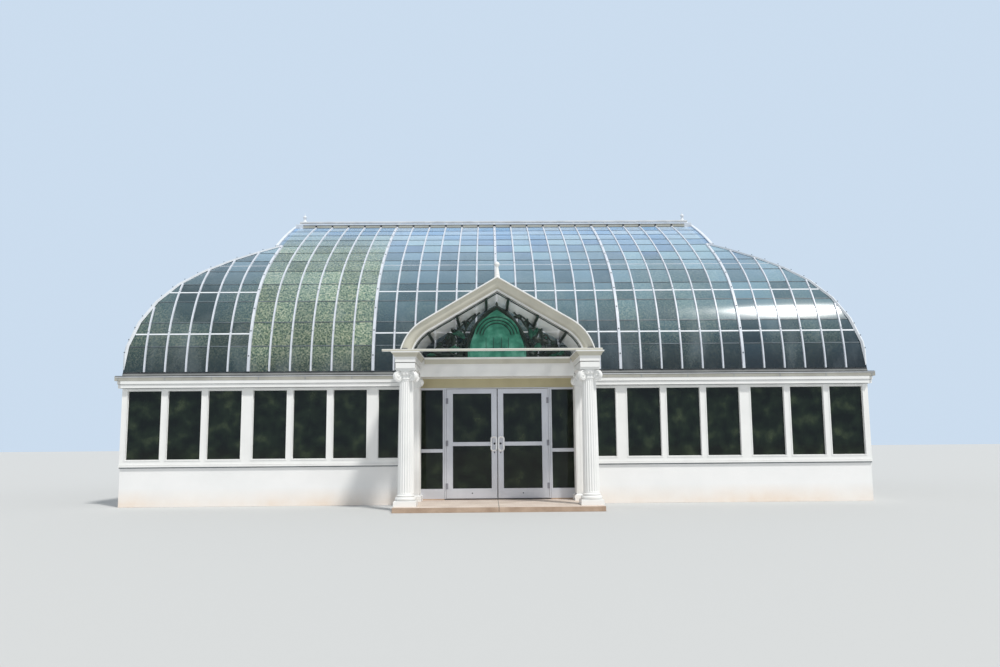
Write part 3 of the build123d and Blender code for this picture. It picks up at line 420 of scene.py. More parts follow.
# Grey of the glass laps and bolts, also painted shade under the eave rails and the sill
lap_and_shade_grey = surface("lap_and_shade_grey", (0.13, 0.16, 0.18), (0.06, 0.075, 0.085), 0.5)
# Cream paint, darkened and warmed as painted shade where it stands under the porch roof and on the ridge boards
cream_and_shade_wood = surface("cream_paint_and_painted_shade", (0.6, 0.58, 0.49), (0.52, 0.5, 0.42), 0.5)
# Olive cream: painted shade on the door head under the porch's rear beam
olive_shade_wood = surface("olive_painted_shade_wood", (0.55, 0.5, 0.31), (0.48, 0.43, 0.26), 0.5)
panel_white = porch_glazing("porch_panel", 0.4)
roof_glass = roof_glazing_painted_light()
green = patina()

BY_SLOT = {
    "concrete": slab_concrete(), "painted_masonry": wall_paint(), "white_joinery": white_wood,
    "white_ironwork": white_iron_blue_shade, "grey_metal": grey_paint, "window_glass": window_glazing_painted_shade(),
    "roof_glass": roof_glass, "door_aluminium": aluminium, "steel_fittings": steel,
    "porch_panels": porch_glazing("porch_roof_glass", 0.22), "dark_metal": black_iron, "green_copper": green,
}
BY_NODE = {"ridge_cap": lead_grey_and_highlight, "door_head": olive_shade_wood, "left_door_hinges": hinge_grey,
           "right_door_hinges": hinge_grey}
for part in frame["record"]["subparts"]:
    node = frame["nodes"][part["node"]]
    paint = BY_NODE.get(part["node"], BY_SLOT[part["material_slot"]])
    node.data.materials.clear()
    node.data.materials.append(paint)


# Roof line
def roof_arcs():
    """Radius, and slope, depth, height and length at the start, of each arc of the roof."""
    depth, height, length = 0.0, SPRING, 0.0
    arcs = []
    for radius, first, last in zip(RADII, SLOPES, SLOPES[1:]):
        a, b = radians(first), radians(last)
        arcs.append((radius, a, depth, height, length))
        depth += radius * (sin(a) - sin(b))
        height += radius * (cos(b) - cos(a))
        length += radius * (a - b)
    return arcs


ARCS = roof_arcs()


def roof_point(length):
    """Depth, height and slope of the glass line at a length up its curve."""
    radius, first, depth, height, begin = [a for a in ARCS if a[4] <= length][-1]
    slope = first - (length - begin) / radius
    return depth + radius * (sin(first) - sin(slope)), height + radius * (cos(slope) - cos(first)), slope


def roof_length(depth):
    radius, first, start, _, begin = [a for a in ARCS if a[2] <= depth][-1]
    return begin + radius * (first - asin(sin(first) - (depth - start) / radius))


LOW_LENGTH, TOP_LENGTH = roof_length(HIP_DEPTH), roof_length(HALF_DEPTH)
VENT_START = TOP_LENGTH - VENT_LENGTH
ROW_LENGTHS = [LOW_LENGTH * i / ROWS_LOW for i in range(ROWS_LOW + 1)]
ROW_LENGTHS += [LOW_LENGTH + (VENT_START - LOW_LENGTH) * i / ROWS_HIGH for i in range(1, ROWS_HIGH + 1)]


def side_place(side):
    """Turns a place across, a depth inwards from the wall's face and a height into a point of one side."""
    return {
        "front": lambda u, d, h: (u, FRONT + d, h), "back": lambda u, d, h: (-u, -FRONT - d, h),
        "right": lambda u, d, h: (HALF_WIDTH - d, u, h), "left": lambda u, d, h: (-HALF_WIDTH + d, -u, h),
    }[side]


def half_of(side):
    return HALF_WIDTH if side in LONG_SIDES else HALF_DEPTH


def panes_of(side):
    """Number of panes from the middle of a side to its corner."""
    return int(round(half_of(side) / PANE))


def rows_of(side):
    return ROWS_LOW + ROWS_HIGH if side in LONG_SIDES else ROWS_LOW


def on_roof(place, u, length, out):
    """Point over a slope, at a length up its curve and a height off the glass line."""
    depth, height, slope = roof_point(length)
    return place(u, depth - out * sin(slope), height + out * cos(slope))


def along(soup, place, u, section, lengths):
    """Strip up a slope; its section has distances across the slope and off the glass line."""
    soup.loft([[on_roof(place, u + d, length, out) for d, out in section] for length in lengths])


def across(soup, place, length, section, ends):
    """Strip across a slope; its section has distances up the slope and off the glass line."""
    soup.loft([[on_roof(place, u, length + d, out) for d, out in section] for u in ends])


# Roof glass
LAP, PANE_THICK, CORNER_GAP, COLLAR_GAP, EAVE_GAP, BUTT_GAP = 0.014, 0.004, 0.004, 0.014, 0.002, 0.001
PANE_STEPS = 4
# Height of a pane's head off the glass line, and how much higher its foot rests
PANE_OUT, PANE_REST = 0.0005, 0.0042
MAX_TILT, MAX_LIFT, TINTS = 0.0012, 0.0008, (0.25, 0.75)
NARROW_PANE = 0.2
LAP_SECTION = rectangle(-LAP - 0.002, 0.003, 0.0084, 0.0112)
# How green the front's glass is in each bay, from the left, and how dark with painted shade, as judged
PLAIN_MOSS = 0.06
BAY_MOSS = (0.08, 0.74, 0.05, 0.06, 0.1, 0.04)
BAY_PAINTED_SHADE = (0.7, 0.0, 0.38, 0.1, 0.0, 0.0)
PANE_NODES = {"front": ["front_roof_glass"], "back": ["back_roof_glass"], "right": ["end_roof_glass"],
              "left": []}


def reach_at(side, length):
    """How far a slope's glass runs to each side at a length up it."""
    if length > LOW_LENGTH:
        return VERGE_X
    return half_of(side) - roof_point(length)[0] - CORNER_GAP


def pane_levels(side, row, k):
    """Lengths at which a pane is bent or meets the corner of the roof."""
    first = ROW_LENGTHS[row] - LAP if row else EAVE_GAP
    under_collar = row + 1 == rows_of(side) and row < ROWS_LOW
    last = ROW_LENGTHS[row + 1] - (COLLAR_GAP if under_collar else BUTT_GAP)
    levels = [first + (last - first) * i / PANE_STEPS for i in range(PANE_STEPS + 1)]
    if row < ROWS_LOW:
        for edge in (abs(k * PANE), abs((k + 1) * PANE)):
            depth = half_of(side) - CORNER_GAP - edge
            if roof_point(first)[0] < depth < roof_point(last)[0]:
                levels.append(roof_length(depth))
    return sorted(levels)


def roof_panes(side):
    """Lapped and curved panes of a slope, each a little out of line with its neighbours."""
    soup, laps = Soup(), Soup()
    place = side_place(side)
    count = panes_of(side)
    for row in range(rows_of(side)):
        for k in range(-count, count):
            tilt = random.uniform(-MAX_TILT, MAX_TILT)
            lift = random.uniform(0.0, MAX_LIFT)
            tint = random.uniform(*TINTS)
            low, high = k * PANE, (k + 1) * PANE
            if row >= ROWS_LOW and (low > GABLET_X - NEAR or high < -GABLET_X + NEAR):
                low, high = (low, VERGE_X) if low > 0 else (-VERGE_X, high)
                if not 0 < high - low < NARROW_PANE:
                    continue
            levels = pane_levels(side, row, k)
            rings = []
            for length in levels:
                reach = reach_at(side, length) if row < ROWS_LOW else VERGE_X
                a, b = max(low, -reach), min(high, reach)
                if b - a < -NEAR:
                    continue
                out = PANE_OUT + lift + PANE_REST * (levels[-1] - length) / (levels[-1] - levels[0])
                left, right = out + tilt, out - tilt
                ring = [(a, left), (b, right), (b, right + PANE_THICK), (a, left + PANE_THICK)]
                rings.append([on_roof(place, u, length, o) for u, o in ring])
            if len(rings) > 1:
                bay = (k + count) // PANES
                # The last number of the tint is the bay's painted shade
                moss, shade = (BAY_MOSS[bay], BAY_PAINTED_SHADE[bay]) if side == "front" else (PLAIN_MOSS, 0.0)
                soup.loft(rings, smooth=True, tint=(tint, moss, shade))
        if row:
            reach = reach_at(side, ROW_LENGTHS[row]) - 0.02
            across(laps, place, ROW_LENGTHS[row], LAP_SECTION, (-reach, reach))
    soup.make(f"roof_panes_{side}", [roof_glass], "roof_glass", replaces=PANE_NODES[side])
    laps.make(f"roof_laps_{side}", [lap_and_shade_grey], "dark_metal")


# Purlin lines, caps of the glazing bars and their bolts
PURLIN_ROWS = (1, 3, 5)
PURLIN_HALF, LAST_PURLIN_HALF = 0.016, 0.007
# Half widths of the foot and the crown of a bar's cap, and its height
MAIN_CAP, BAR_CAP = (0.032, 0.024, 0.04), (0.021, 0.0115, 0.031)
CLIP_WIDE, CLIP_LEVELS = 0.011, (0.005, 0.016)
UNDER_VENT, BELOW_COLLAR, BESIDE_HIP = 0.01, 0.016, 0.036
VERGE_STEPS = 12


def middle_of(row):
    return (ROW_LENGTHS[row] + ROW_LENGTHS[row + 1]) / 2


def purlin_seats():
    """White edges of the purlins, on which the glass is bedded. On the front the green bay shows none."""
    soup = Soup()
    for side in SIDES:
        for row in PURLIN_ROWS:
            length = middle_of(row)
            reach = reach_at(side, length) - 0.03
            wide = LAST_PURLIN_HALF if row == PURLIN_ROWS[-1] else PURLIN_HALF
            section = [(-wide, 0.003), (wide, 0.003), (wide - 0.002, 0.0105), (0.002 - wide, 0.0105)]
            spans = [(-reach, -2 * BAY), (-BAY, reach)] if side == "front" else [(-reach, reach)]
            for ends in spans:
                across(soup, side_place(side), length, section, ends)
    soup.make("purlin_seats", [white_iron_blue_shade], "white_ironwork")


def bar_top(side, u):
    """Length up the slope at which a glazing bar ends."""
    if side in LONG_SIDES and abs(u) < GABLET_X - 0.01:
        return VENT_START + UNDER_VENT
    if side not in LONG_SIDES and abs(u) < GABLET_HALF + 0.01:
        return LOW_LENGTH - BELOW_COLLAR
    return roof_length(half_of(side) - abs(u) - BESIDE_HIP)


def stud(soup, centre, axis, radius, height):
    """Domed bolt head standing on a surface."""
    axis = Vector(axis).normalized()
    side = axis.orthogonal().normalized()
    other = axis.cross(side)
    profile = [(radius, -0.3 * height), (radius, 0.5 * height), (0.55 * radius, height)]
    turned(soup, profile, 8, lambda p, q, out: tuple(Vector(centre) + side * p + other * q + axis * out),
           smooth=False)


def bar_fixings(bolts, side, u, last, main, foot, top):
    """Clips of a bar at each lap of the glass, and its bolts."""
    place = side_place(side)
    for row in range(1, rows_of(side)):
        length = ROW_LENGTHS[row]
        if length > last - 0.03:
            break
        for way in (-1, 1):
            clip = rectangle(u + way * foot, u + way * (foot + CLIP_WIDE), -0.012, 0.005)
            bolts.loft([[on_roof(place, x, length + v, out) for x, v in clip] for out in CLIP_LEVELS])
    for row in range(rows_of(side)):
        length = middle_of(row) + 0.05
        if length > last - 0.05 or not (main or row in PURLIN_ROWS):
            continue
        base, tip = on_roof(place, u, length, top), on_roof(place, u, length, top + 0.1)
        stud(bolts, base, Vector(tip) - Vector(base), 0.015 if main else 0.008, 0.009)


def hip_bolts(bolts):
    """Bolts up the four hips."""
    for sx in (-1, 1):
        for sy in (-1, 1):
            for i in range(1, 2 * ROWS_LOW):
                length = LOW_LENGTH * (i + 0.5) / (2 * ROWS_LOW)
                depth, height, _ = roof_point(length)
                ahead = roof_point(length + 0.01)
                steep = (ahead[1] - height) / (ahead[0] - depth)
                normal = Vector((sx, sy, 2 / steep)).normalized()
                corner = Vector((sx * (HALF_WIDTH - depth), sy * (HALF_DEPTH - depth), height))
                stud(bolts, corner + normal * 0.052, normal, 0.013, 0.01)


def bar_caps():
    """Caps over the glazing bars and along the verges, with bolts and clips."""
    caps, bolts = Soup(), Soup()
    step = LOW_LENGTH / ROWS_LOW / PANE_STEPS
    for side in SIDES:
        for k in range(1 - panes_of(side), panes_of(side)):
            u, last, main = k * PANE, bar_top(side, k * PANE), k % PANES == 0
            foot, crown, top = MAIN_CAP if main else BAR_CAP
            bends = [step * i for i in range(1, int(last / step) + 1)]
            levels = [0.004] + [length for length in bends if length < last - 0.01] + [last]
            section = [(-foot, 0.002), (foot, 0.002), (foot, 0.012), (crown, top), (-crown, top), (-foot, 0.012)]
            along(caps, side_place(side), u, section, levels)
            bar_fixings(bolts, side, u, last, main, foot, top)
    first = LOW_LENGTH - 0.02
    levels = [first + (VENT_START - first) * i / VERGE_STEPS for i in range(VERGE_STEPS + 1)]
    for side in LONG_SIDES:
        for way in (-1, 1):
            section = rectangle(way * (VERGE_X - 0.016), way * (VERGE_X + 0.006), 0.002, 0.034)
            along(caps, side_place(side), 0.0, section, levels)
    hip_bolts(bolts)
    caps.make("glazing_bar_caps", [bar_paint_blue_shade], "white_ironwork")
    bolts.make("glazing_bolts", [lap_and_shade_grey], "dark_metal")


# Ridge
BOARD_X = 4.8
STRIP_TOP, FRAME_LOW, FRAME_HIGH, HINGE_GAP = 0.03, 0.06, 0.055, 0.06
# Levels of the boards and of the dark lines of painted shade below and above them, under the sashes, from the
# lowest up
STRIP_LEVELS = (-0.078, -0.062, -0.008, 0.008)
MAIN_SASH_HALF, SASH_HALF, TICK_EXTRA = 0.022, 0.011, 0.01


def ridge_vents():
    """Line of glazed sashes on both sides of the ridge, on cream boards that are partly painted shade, with dark
    lines of painted shade below, above and across the boards.
    """
    low_depth, low_height, _ = roof_point(VENT_START)
    top_height = roof_point(TOP_LENGTH)[1]
    run = HALF_DEPTH - HINGE_GAP - low_depth
    hinge_height = low_height + (top_height - low_height) * run / (HALF_DEPTH - low_depth)
    foot = low_height + VENT_LIFT
    size = hypot(run, hinge_height - foot)
    run, rise = run / size, (hinge_height - foot) / size
    bottom, under, over, top = STRIP_LEVELS
    glass, frames, boards, ridge_shade_lines = Soup(), Soup(), Soup(), Soup()
    for side in LONG_SIDES:
        place = side_place(side)

        def plate(soup, u0, u1, v0, v1, o0, o1, tint=0.5):
            outline = [place(u0, low_depth + run * v - rise * o, foot + rise * v + run * o)
                       for v, o in rectangle(v0, v1, o0, o1)]
            soup.prism(outline, Vector(place(u1, 0, 0)) - Vector(place(u0, 0, 0)), tint)

        for soup, o0, o1 in ((boards, under, over), (ridge_shade_lines, bottom, under), (ridge_shade_lines, over, top),
                             (frames, top, VENT_THICK)):
            plate(soup, -BOARD_X, BOARD_X, 0.0, STRIP_TOP, o0, o1)
        for a, b in ((-VERGE_X, -BOARD_X), (BOARD_X, VERGE_X)):
            plate(frames, a, b, 0.0, STRIP_TOP, bottom, VENT_THICK)
        for v0, v1 in ((STRIP_TOP, FRAME_LOW), (size - FRAME_HIGH, size - 0.004)):
            plate(frames, -VERGE_X, VERGE_X, v0, v1, 0.0, VENT_THICK)
        count = int(round(GABLET_X / PANE))
        for k in range(-count, count + 1):
            u, wide = k * PANE, MAIN_SASH_HALF if k % PANES == 0 else SASH_HALF
            tick_half = wide + TICK_EXTRA
            if abs(k) < count:
                # Dark tick of painted shade at each bar
                plate(ridge_shade_lines, u - tick_half, u + tick_half, -0.003, 0.004, -0.07, -0.004)
            plate(frames, u - wide, u + wide, FRAME_LOW, size - FRAME_HIGH, 0.002, VENT_THICK - 0.002)
            if k < count:
                tint = random.uniform(0.3, 0.7)
                plate(glass, u + wide, u + PANE - wide, FRAME_LOW, size - FRAME_HIGH, 0.014, 0.018, tint)
    frames.make("ridge_vent_frames", [white_iron_blue_shade], "white_ironwork")
    boards.make("ridge_vent_boards", [cream_and_shade_wood], "white_joinery")
    ridge_shade_lines.make("ridge_vent_shade_lines", [seal_and_shade_dark], "dark_metal")
    glass.make("ridge_vent_glass", [roof_glass], "roof_glass", replaces=["ridge_vents"])


def finial(soup, x, y, z, height, spike, collar, foot=0.0):
    """Turned finial with a collar, a ball and a spike above the ball's centre."""
    ball = height - spike
    outline = [
        (0.06, -foot), (0.06, 0.014), (0.05, 0.024), (collar, 0.04), (collar - 0.005, 0.064),
        (collar + 0.002, 0.072), (collar - 0.005, 0.08), (0.024, ball - 0.052), (0.032, ball - 0.046)]
    for i in range(9):
        t = -1.0 + 2.3 * i / 8
        outline.append((0.046 * cos(t) + 0.002, ball + 0.044 * sin(t)))
    outline += [(0.014, ball + 0.046), (0.01, ball + 0.048), (0.001, height)]
    lathe(soup, [(r, z + rise) for r, rise in outline], x, y, 24)


def finials():
    soup = Soup()
    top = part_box("ridge_cap")[1].z
    for sign in (-1, 1):
        finial(soup, sign * (VERGE_X - 0.06), 0.0, top - 0.004, 0.25, 0.116, 0.038)
    soup.make("ridge_finials_turned", [white_iron_blue_shade], "white_ironwork", replaces=["ridge_finials"])
    soup = Soup()
    foot = RAKE_APEX - 0.02
    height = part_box("porch_finial")[1].z - foot
    finial(soup, 0.0, PORCH_FRONT + 0.085, foot, height, 0.054, 0.05, 0.02)
    soup.make("porch_finial_turned", [white_wood], "white_joinery", replaces=["porch_finial"])


def gablet_bars():
    """Glazing bars and a bottom rail on the glass of the gablets."""
    low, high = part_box("gablet_glass")
    soup = Soup()
    for sign in (-1, 1):
        a, b = between(sign, high.x - 0.002, high.x + 0.02)
        for k in range(-PANES, PANES + 1):
            u, wide = k * PANE, 0.014 if k else 0.024
            top = roof_point(roof_length(HALF_DEPTH - abs(u) - wide))[1] - 0.15
            if top - low.z > 0.06:
                soup.box(a, b, u - wide, u + wide, low.z, top)
        soup.box(a, b, low.y + 0.05, high.y - 0.05, low.z - 0.01, low.z + 0.04)
    soup.make("gablet_bars", [white_iron_blue_shade], "white_ironwork")


# Walls; distances out are counted from the wall's face
# Width of the strips, inner and outer face, and distance inside the window opening
CASING, SASH = (0.02, -0.001, 0.009, -0.02), (0.007, -0.06, -0.03, 0.0)
# Outer face, foot and top of the rails, and of the dark lines of painted shade between and under them, under the
# gutter and at the sill
EAVE_RAILS = ((0.108, 2.362, PLATE_LOW - 0.001), (0.088, 2.286, 2.356), (0.008, 0.796, 0.812))
EAVE_SHADE_LINES = ((0.086, 2.355, 2.363), (0.006, 2.278, 2.287), (-0.008, 0.738, 0.757))
GUTTER_PAST, GUTTER_GAP = 0.1, 1.872
GUTTER_BEAD, BEAD_OUT, BEAD_HEIGHT = 0.009, 0.116, 2.496
BRACKET_STEP, BRACKET_HALF, BRACKET_END = BAY / 3, 0.012, 0.05


def window_places(half):
    """Left and right edges of the windows of a wall, three to a bay."""
    clear = (BAY - POST - 2 * MULLION) / 3
    places = []
    for bay in range(int(round(2 * half / BAY))):
        for i in range(3):
            left = bay * BAY - half + POST / 2 + i * (clear + MULLION)
            places.append((left, left + clear))
    return places


def wall_spans(side, gap, past=0.0):
    """Ends of what runs along a wall, in two parts on the front, where the porch stands."""
    end = half_of(side) + past
    return [(-end, -gap), (gap, end)] if side == "front" else [(-end, end)]


def wall_box(soup, place, u0, u1, o0, o1, z0, z1):
    outline = [place(u0, -o, z) for o, z in rectangle(o0, o1, z0, z1)]
    soup.prism(outline, Vector(place(u1, 0, 0)) - Vector(place(u0, 0, 0)))


def window_trim():
    """Casing and sash of each window, rails under the gutter, the edge of the sill, and dark lines of painted
    shade between and under the rails.
    """
    casing, sash, rails, eave_shade_strips = Soup(), Soup(), Soup(), Soup()
    for side in SIDES:
        place = side_place(side)
        for left, right in window_places(half_of(side)):
            if side == "front" and abs(left + right) / 2 <= DOOR_SIDE:
                continue
            for soup, (wide, o0, o1, gap) in ((casing, CASING), (sash, SASH)):
                for a, b, z0, z1 in borders(left + gap, right - gap, WINDOW_LOW + gap, WINDOW_HIGH - gap, wide):
                    wall_box(soup, place, a, b, o0, o1, z0, z1)
        for u0, u1 in wall_spans(side, BEAM_OUT):
            for soup, inner, lines in ((rails, -0.001, EAVE_RAILS), (eave_shade_strips, -0.016, EAVE_SHADE_LINES)):
                for out, z0, z1 in lines:
                    wall_box(soup, place, u0, u1, inner, out, z0, z1)
    casing.make("window_casings", [white_wood], "white_joinery")
    sash.make("window_sashes", [white_wood], "white_joinery")
    rails.make("eave_rails", [white_wood], "white_joinery")
    eave_shade_strips.make("eave_painted_shade_lines", [lap_and_shade_grey], "dark_metal")


def gutter_trim():
    """Bead and brackets of the gutters, the bead lighter as painted highlight, the flashing under the lowest
    panes, and dark strips of painted shade at the top of the gutter and under the glass.
    """
    highlight_bead, dark, fixings = Soup(), Soup(), Soup()
    for side in SIDES:
        place = side_place(side)
        for u0, u1 in wall_spans(side, GUTTER_GAP, GUTTER_PAST):
            # The bead is lighter than the gutter: painted highlight
            turned(highlight_bead, [(GUTTER_BEAD, u0), (GUTTER_BEAD, u1)], 10,
                   lambda p, q, u: place(u, -BEAD_OUT - p, BEAD_HEIGHT + q))
            # Painted shade inside the top of the gutter
            wall_box(dark, place, u0, u1, 0.106, 0.1165, 2.504, 2.5215)
            count = int((u1 - u0) / BRACKET_STEP)
            for i in range(count + 1):
                u = u0 + BRACKET_END + (u1 - u0 - 2 * BRACKET_END) * i / count
                wall_box(fixings, place, u - BRACKET_HALF, u + BRACKET_HALF, 0.114, 0.119, 2.43, 2.488)
        for u0, u1 in wall_spans(side, BEAM_OUT):
            wall_box(fixings, place, u0, u1, 0.001, 0.018, 2.53, 2.566)
            # Painted shade in the gap under the lowest panes
            wall_box(dark, place, u0, u1, 0.001, 0.012, 2.566, 2.593)
    highlight_bead.make("gutter_beads_highlight", [lead_grey_and_highlight], "grey_metal")
    fixings.make("gutter_brackets", [flashing], "grey_metal")
    dark.make("eave_painted_shade", [seal_and_shade_dark], "dark_metal")


# Porch columns
FLUTES, FLUTE_DEPTH, FILLET = 20, 0.013, 0.18
SHAFT_FOOT, SHAFT_TOP, SWELLING = 0.145, 0.122, 0.004
SHAFT_LEVELS = [0.0, 0.006, 0.012, 0.016, 0.022] + [0.05 + 0.9 * i / 12 for i in range(13)]
SHAFT_LEVELS += [0.978, 0.984, 0.988, 1.0]
VOLUTE_EYE = ((0.019, -0.002), (0.019, 0.01), (0.01, 0.016))
EGG = ((0.003, -0.03), (0.016, -0.018), (0.02, 0.0), (0.016, 0.016), (0.003, 0.022))
NECK = ((0.122, 0.0), (0.136, 0.006), (0.136, 0.02), (0.126, 0.026), (0.126, 0.072), (0.15, 0.098),
        (0.172, 0.125), (0.16, 0.156))


def fluted(low, high):
    """Radius of a fluted shaft at a height and angle."""
    def radius(z, angle):
        t = (z - low) / (high - low)
        body = SHAFT_FOOT + (SHAFT_TOP - SHAFT_FOOT) * t + SWELLING * sin(pi * max(min(t, 1), 0))
        phase = (angle * FLUTES / (2 * pi)) % 1.0
        if not 0.012 < t < 0.988 or phase < FILLET:
            return body
        return body - FLUTE_DEPTH * sin(pi * (phase - FILLET) / (1 - FILLET))
    return radius


def spiral(turns, outer, inner, start, way, steps=16):
    count = int(turns * steps)
    line = []
    for i in range(count + 1):
        t = i / count
        r = outer * (inner / outer) ** t
        angle = start + way * 2 * pi * turns * t
        line.append((r * cos(angle), r * sin(angle)))
    return line


def volute(soup, centre, quarter, reach, radius, thick):
    """Ionic scroll standing out from a capital at a corner."""
    turn = Matrix.Translation(centre) @ Matrix.Rotation(radians(quarter), 4, "Z")

    def place(p, q, out):
        return tuple(turn @ Vector((reach + p, out, q)))

    turned(soup, [(radius - 0.008, -thick), (radius - 0.008, thick)], 32, place)
    line = spiral(2.3, radius - 0.01, 0.02, radians(110), -1)
    widths = [0.0125 - 0.006 * i / len(line) for i in range(len(line))]
    for face in (-1, 1):
        tube(soup, line, widths, lambda u, v, w: place(u, v, face * thick + w))
        turned(soup, [(r, face * (thick + out)) for r, out in VOLUTE_EYE], 32, place)


def half_round(centre, z, radius, steps):
    """Rounded moulding of a base, as radii and heights."""
    angles = [-pi / 2 + pi * i / steps for i in range(steps + 1)]
    return [(centre + radius * cos(a), z + radius * sin(a)) for a in angles]


def column(sign):
    """Fluted column with a stepped plinth, a moulded base and an Ionic capital."""
    soup = Soup()
    x, y = sign * COLUMN_X, FRONT - COLUMN_OUT
    low = SLAB_TOP + 0.096
    for half, z0, z1 in ((0.2, SLAB_TOP, low - 0.012), (0.19, low - 0.012, low),
                         (0.172, BEAM_LOW - 0.042, BEAM_LOW - 0.024), (0.182, BEAM_LOW - 0.024, BEAM_LOW)):
        soup.box(x - half, x + half, y - half, y + half, z0, z1)
    base = [(0.16, 0.0)] + half_round(0.158, 0.032, 0.032, 8) + [(0.15, 0.066), (0.146, 0.072)]
    base += half_round(0.15, 0.086, 0.014, 6) + [(0.148, 0.104), (0.144, 0.11)]
    lathe(soup, [(r, low + z) for r, z in base], x, y, 48)
    foot, top = low + 0.104, BEAM_LOW - 0.195
    shaft = [(0.0, foot + (top - foot) * t) for t in SHAFT_LEVELS]
    lathe(soup, shaft, x, y, FLUTES * 8, fluted(foot, top))
    lathe(soup, [(r, top + z) for r, z in NECK], x, y, 48)
    for p, q in circle(0.152, 16, 0.5):
        lathe(soup, [(r, top + 0.104 + z) for r, z in EGG], x + p, y + q, 10)
    for quarter in (45, 135, 225, 315):
        volute(soup, (x, y, BEAM_LOW - 0.142), quarter, 0.196, 0.096, 0.026)
    name = "left_column" if sign < 0 else "right_column"
    soup.make(f"{name}_fluted", [white_wood], "white_joinery", replaces=[name])


# Porch beams; each section has distances outwards and heights
BEAM_SECTION = [(-0.004, 2.5), (0.006, 2.5), (0.006, 2.592), (0.0, 2.596), (0.0, 2.604), (0.014, 2.608),
                (0.014, 2.686), (0.022, 2.69), (0.022, 2.703), (-0.004, 2.703)]
CROWN_SECTION = [(-0.004, 2.702), (0.024, 2.702), (0.036, 2.712), (0.042, 2.734), (0.062, 2.762), (0.08, 2.774),
                 (0.084, 2.796), (-0.004, 2.796)]
REAR_SECTION = [(-0.001, 2.648), (0.008, 2.648), (0.012, 2.662), (0.012, 2.674), (0.028, 2.686), (0.032, 2.71),
                (0.052, 2.742), (0.056, 2.76), (0.068, 2.764), (0.068, 2.795), (-0.001, 2.795)]
PILASTER_SECTIONS = (
    [(-0.004, 2.216), (0.012, 2.216), (0.016, 2.226), (0.012, 2.236), (-0.004, 2.236)],
    [(-0.004, 2.392), (0.026, 2.392), (0.032, 2.404), (0.032, 2.434), (-0.004, 2.434)],
    [(-0.004, 0.126), (0.04, 0.126), (0.044, 0.14), (0.04, 0.156), (0.02, 0.164), (0.022, 0.184),
     (0.012, 0.196), (-0.004, 0.2)],
)
# Which sides of the sections are cream, as painted shade
CROWN_SHADE_SLOTS, REAR_SHADE_SLOTS = [0, 1, 1, 1, 1, 0, 0, 0], [0, 0, 0, 1, 1, 1, 1, 0, 0, 0, 0]
PILASTER_HALF, PILASTER_OUT, BEAM_END = 0.15, 0.38, FRONT - 0.15
RIBS, RIB_WIDE, RIB_LOW, RIB_HIGH = 5, 0.032, 0.23, 2.2


def around(soup, a, b, front, back, section, slots=None):
    """A section of distances outwards and heights, taken round three sides of a beam or pilaster."""
    rings = []
    for corner in range(4):
        ring = []
        for out, z in section:
            x = a - out if corner < 2 else b + out
            ring.append((x, back if corner in (0, 3) else front - out, z))
        rings.append(ring)
    soup.loft(rings, slots=slots)


def pilaster_trim(soup, sign):
    """Mouldings, volutes and ribs of one pilaster."""
    x, front = sign * COLUMN_X, FRONT - PILASTER_OUT
    for section in PILASTER_SECTIONS:
        around(soup, x - PILASTER_HALF, x + PILASTER_HALF, front, FRONT - 0.004, section)
    for corner, quarter in ((-1, 225), (1, 315)):
        volute(soup, (x + corner * 0.06, front + 0.09, 2.322), quarter, 0.15, 0.078, 0.022)
    face = x - sign * PILASTER_HALF
    a, b = sorted((face, face - sign * 0.007))
    for i in range(RIBS):
        u = front + 0.045 + 0.064 * i
        soup.box(a, b, u, u + RIB_WIDE, RIB_LOW, RIB_HIGH)
    for i in range(RIBS):
        u = x - 0.128 + 0.056 * i
        soup.box(u, u + RIB_WIDE, front - 0.007, front + 0.001, RIB_LOW, RIB_HIGH)


def beam_trim():
    """Mouldings round the porch beams, and the capitals, feet and ribs of the pilasters."""
    soup = Soup()
    for sign in (-1, 1):
        a, b = between(sign, BEAM_IN, BEAM_OUT)
        around(soup, a, b, PORCH_FRONT, BEAM_END, BEAM_SECTION)
        # The cream sides of the crowns are painted shade
        around(soup, a, b, PORCH_FRONT, BEAM_END, CROWN_SECTION, CROWN_SHADE_SLOTS)
    inner = BEAM_IN - 0.086
    soup.loft([[(x, REAR_Y - out, z) for out, z in REAR_SECTION] for x in (-inner, inner)], slots=REAR_SHADE_SLOTS)
    for z0, z1, out in ((2.436, 2.52, 0.006), (2.526, 2.64, 0.003)):
        soup.box(-inner, inner, REAR_Y - out, REAR_Y + 0.001, z0, z1)
    for sign in (-1, 1):
        pilaster_trim(soup, sign)
    soup.make("porch_mouldings", [white_wood, cream_and_shade_wood], "white_joinery")


# Porch roof
PORCH_BARS, BAR_START = (0.21, 0.741, 1.252), PORCH_FRONT + 0.15
COVE_STEPS = 8
# Cornice: distances inwards from the roof's outer line, and places behind the porch front
CORNICE_CROWN = [(0.0, 0.17), (0.0, -0.066), (0.005, -0.07), (0.016, -0.07), (0.021, -0.064), (0.024, -0.052)]
CORNICE_FOOT = [(0.166, 0.028), (0.172, 0.028), (0.175, 0.04), (0.184, 0.042), (0.187, 0.032), (0.193, 0.032),
                (0.196, 0.044), (0.2, 0.036), (0.206, 0.036), (0.206, 0.17)]


def rake_path(steps=18):
    """Outer line of the porch roof's right half, with the direction inwards at each point."""
    knee = RAKE_APEX - RAKE_STRAIGHT * tan(RAKE_SLOPE)
    last = pi / 2 - asin(cos(RAKE_SLOPE) - (knee - RAIL_TOP) / RAKE_RADIUS)
    path = [(0.0, RAKE_APEX, 0.0, -1 / cos(RAKE_SLOPE))]
    for i in range(steps + 1):
        angle = RAKE_SLOPE + (last - RAKE_SLOPE) * i / steps
        x = RAKE_STRAIGHT + RAKE_RADIUS * (sin(angle) - sin(RAKE_SLOPE))
        z = knee - RAKE_RADIUS * (cos(RAKE_SLOPE) - cos(angle))
        path.append((x, z, -sin(angle), -cos(angle)))
    return path


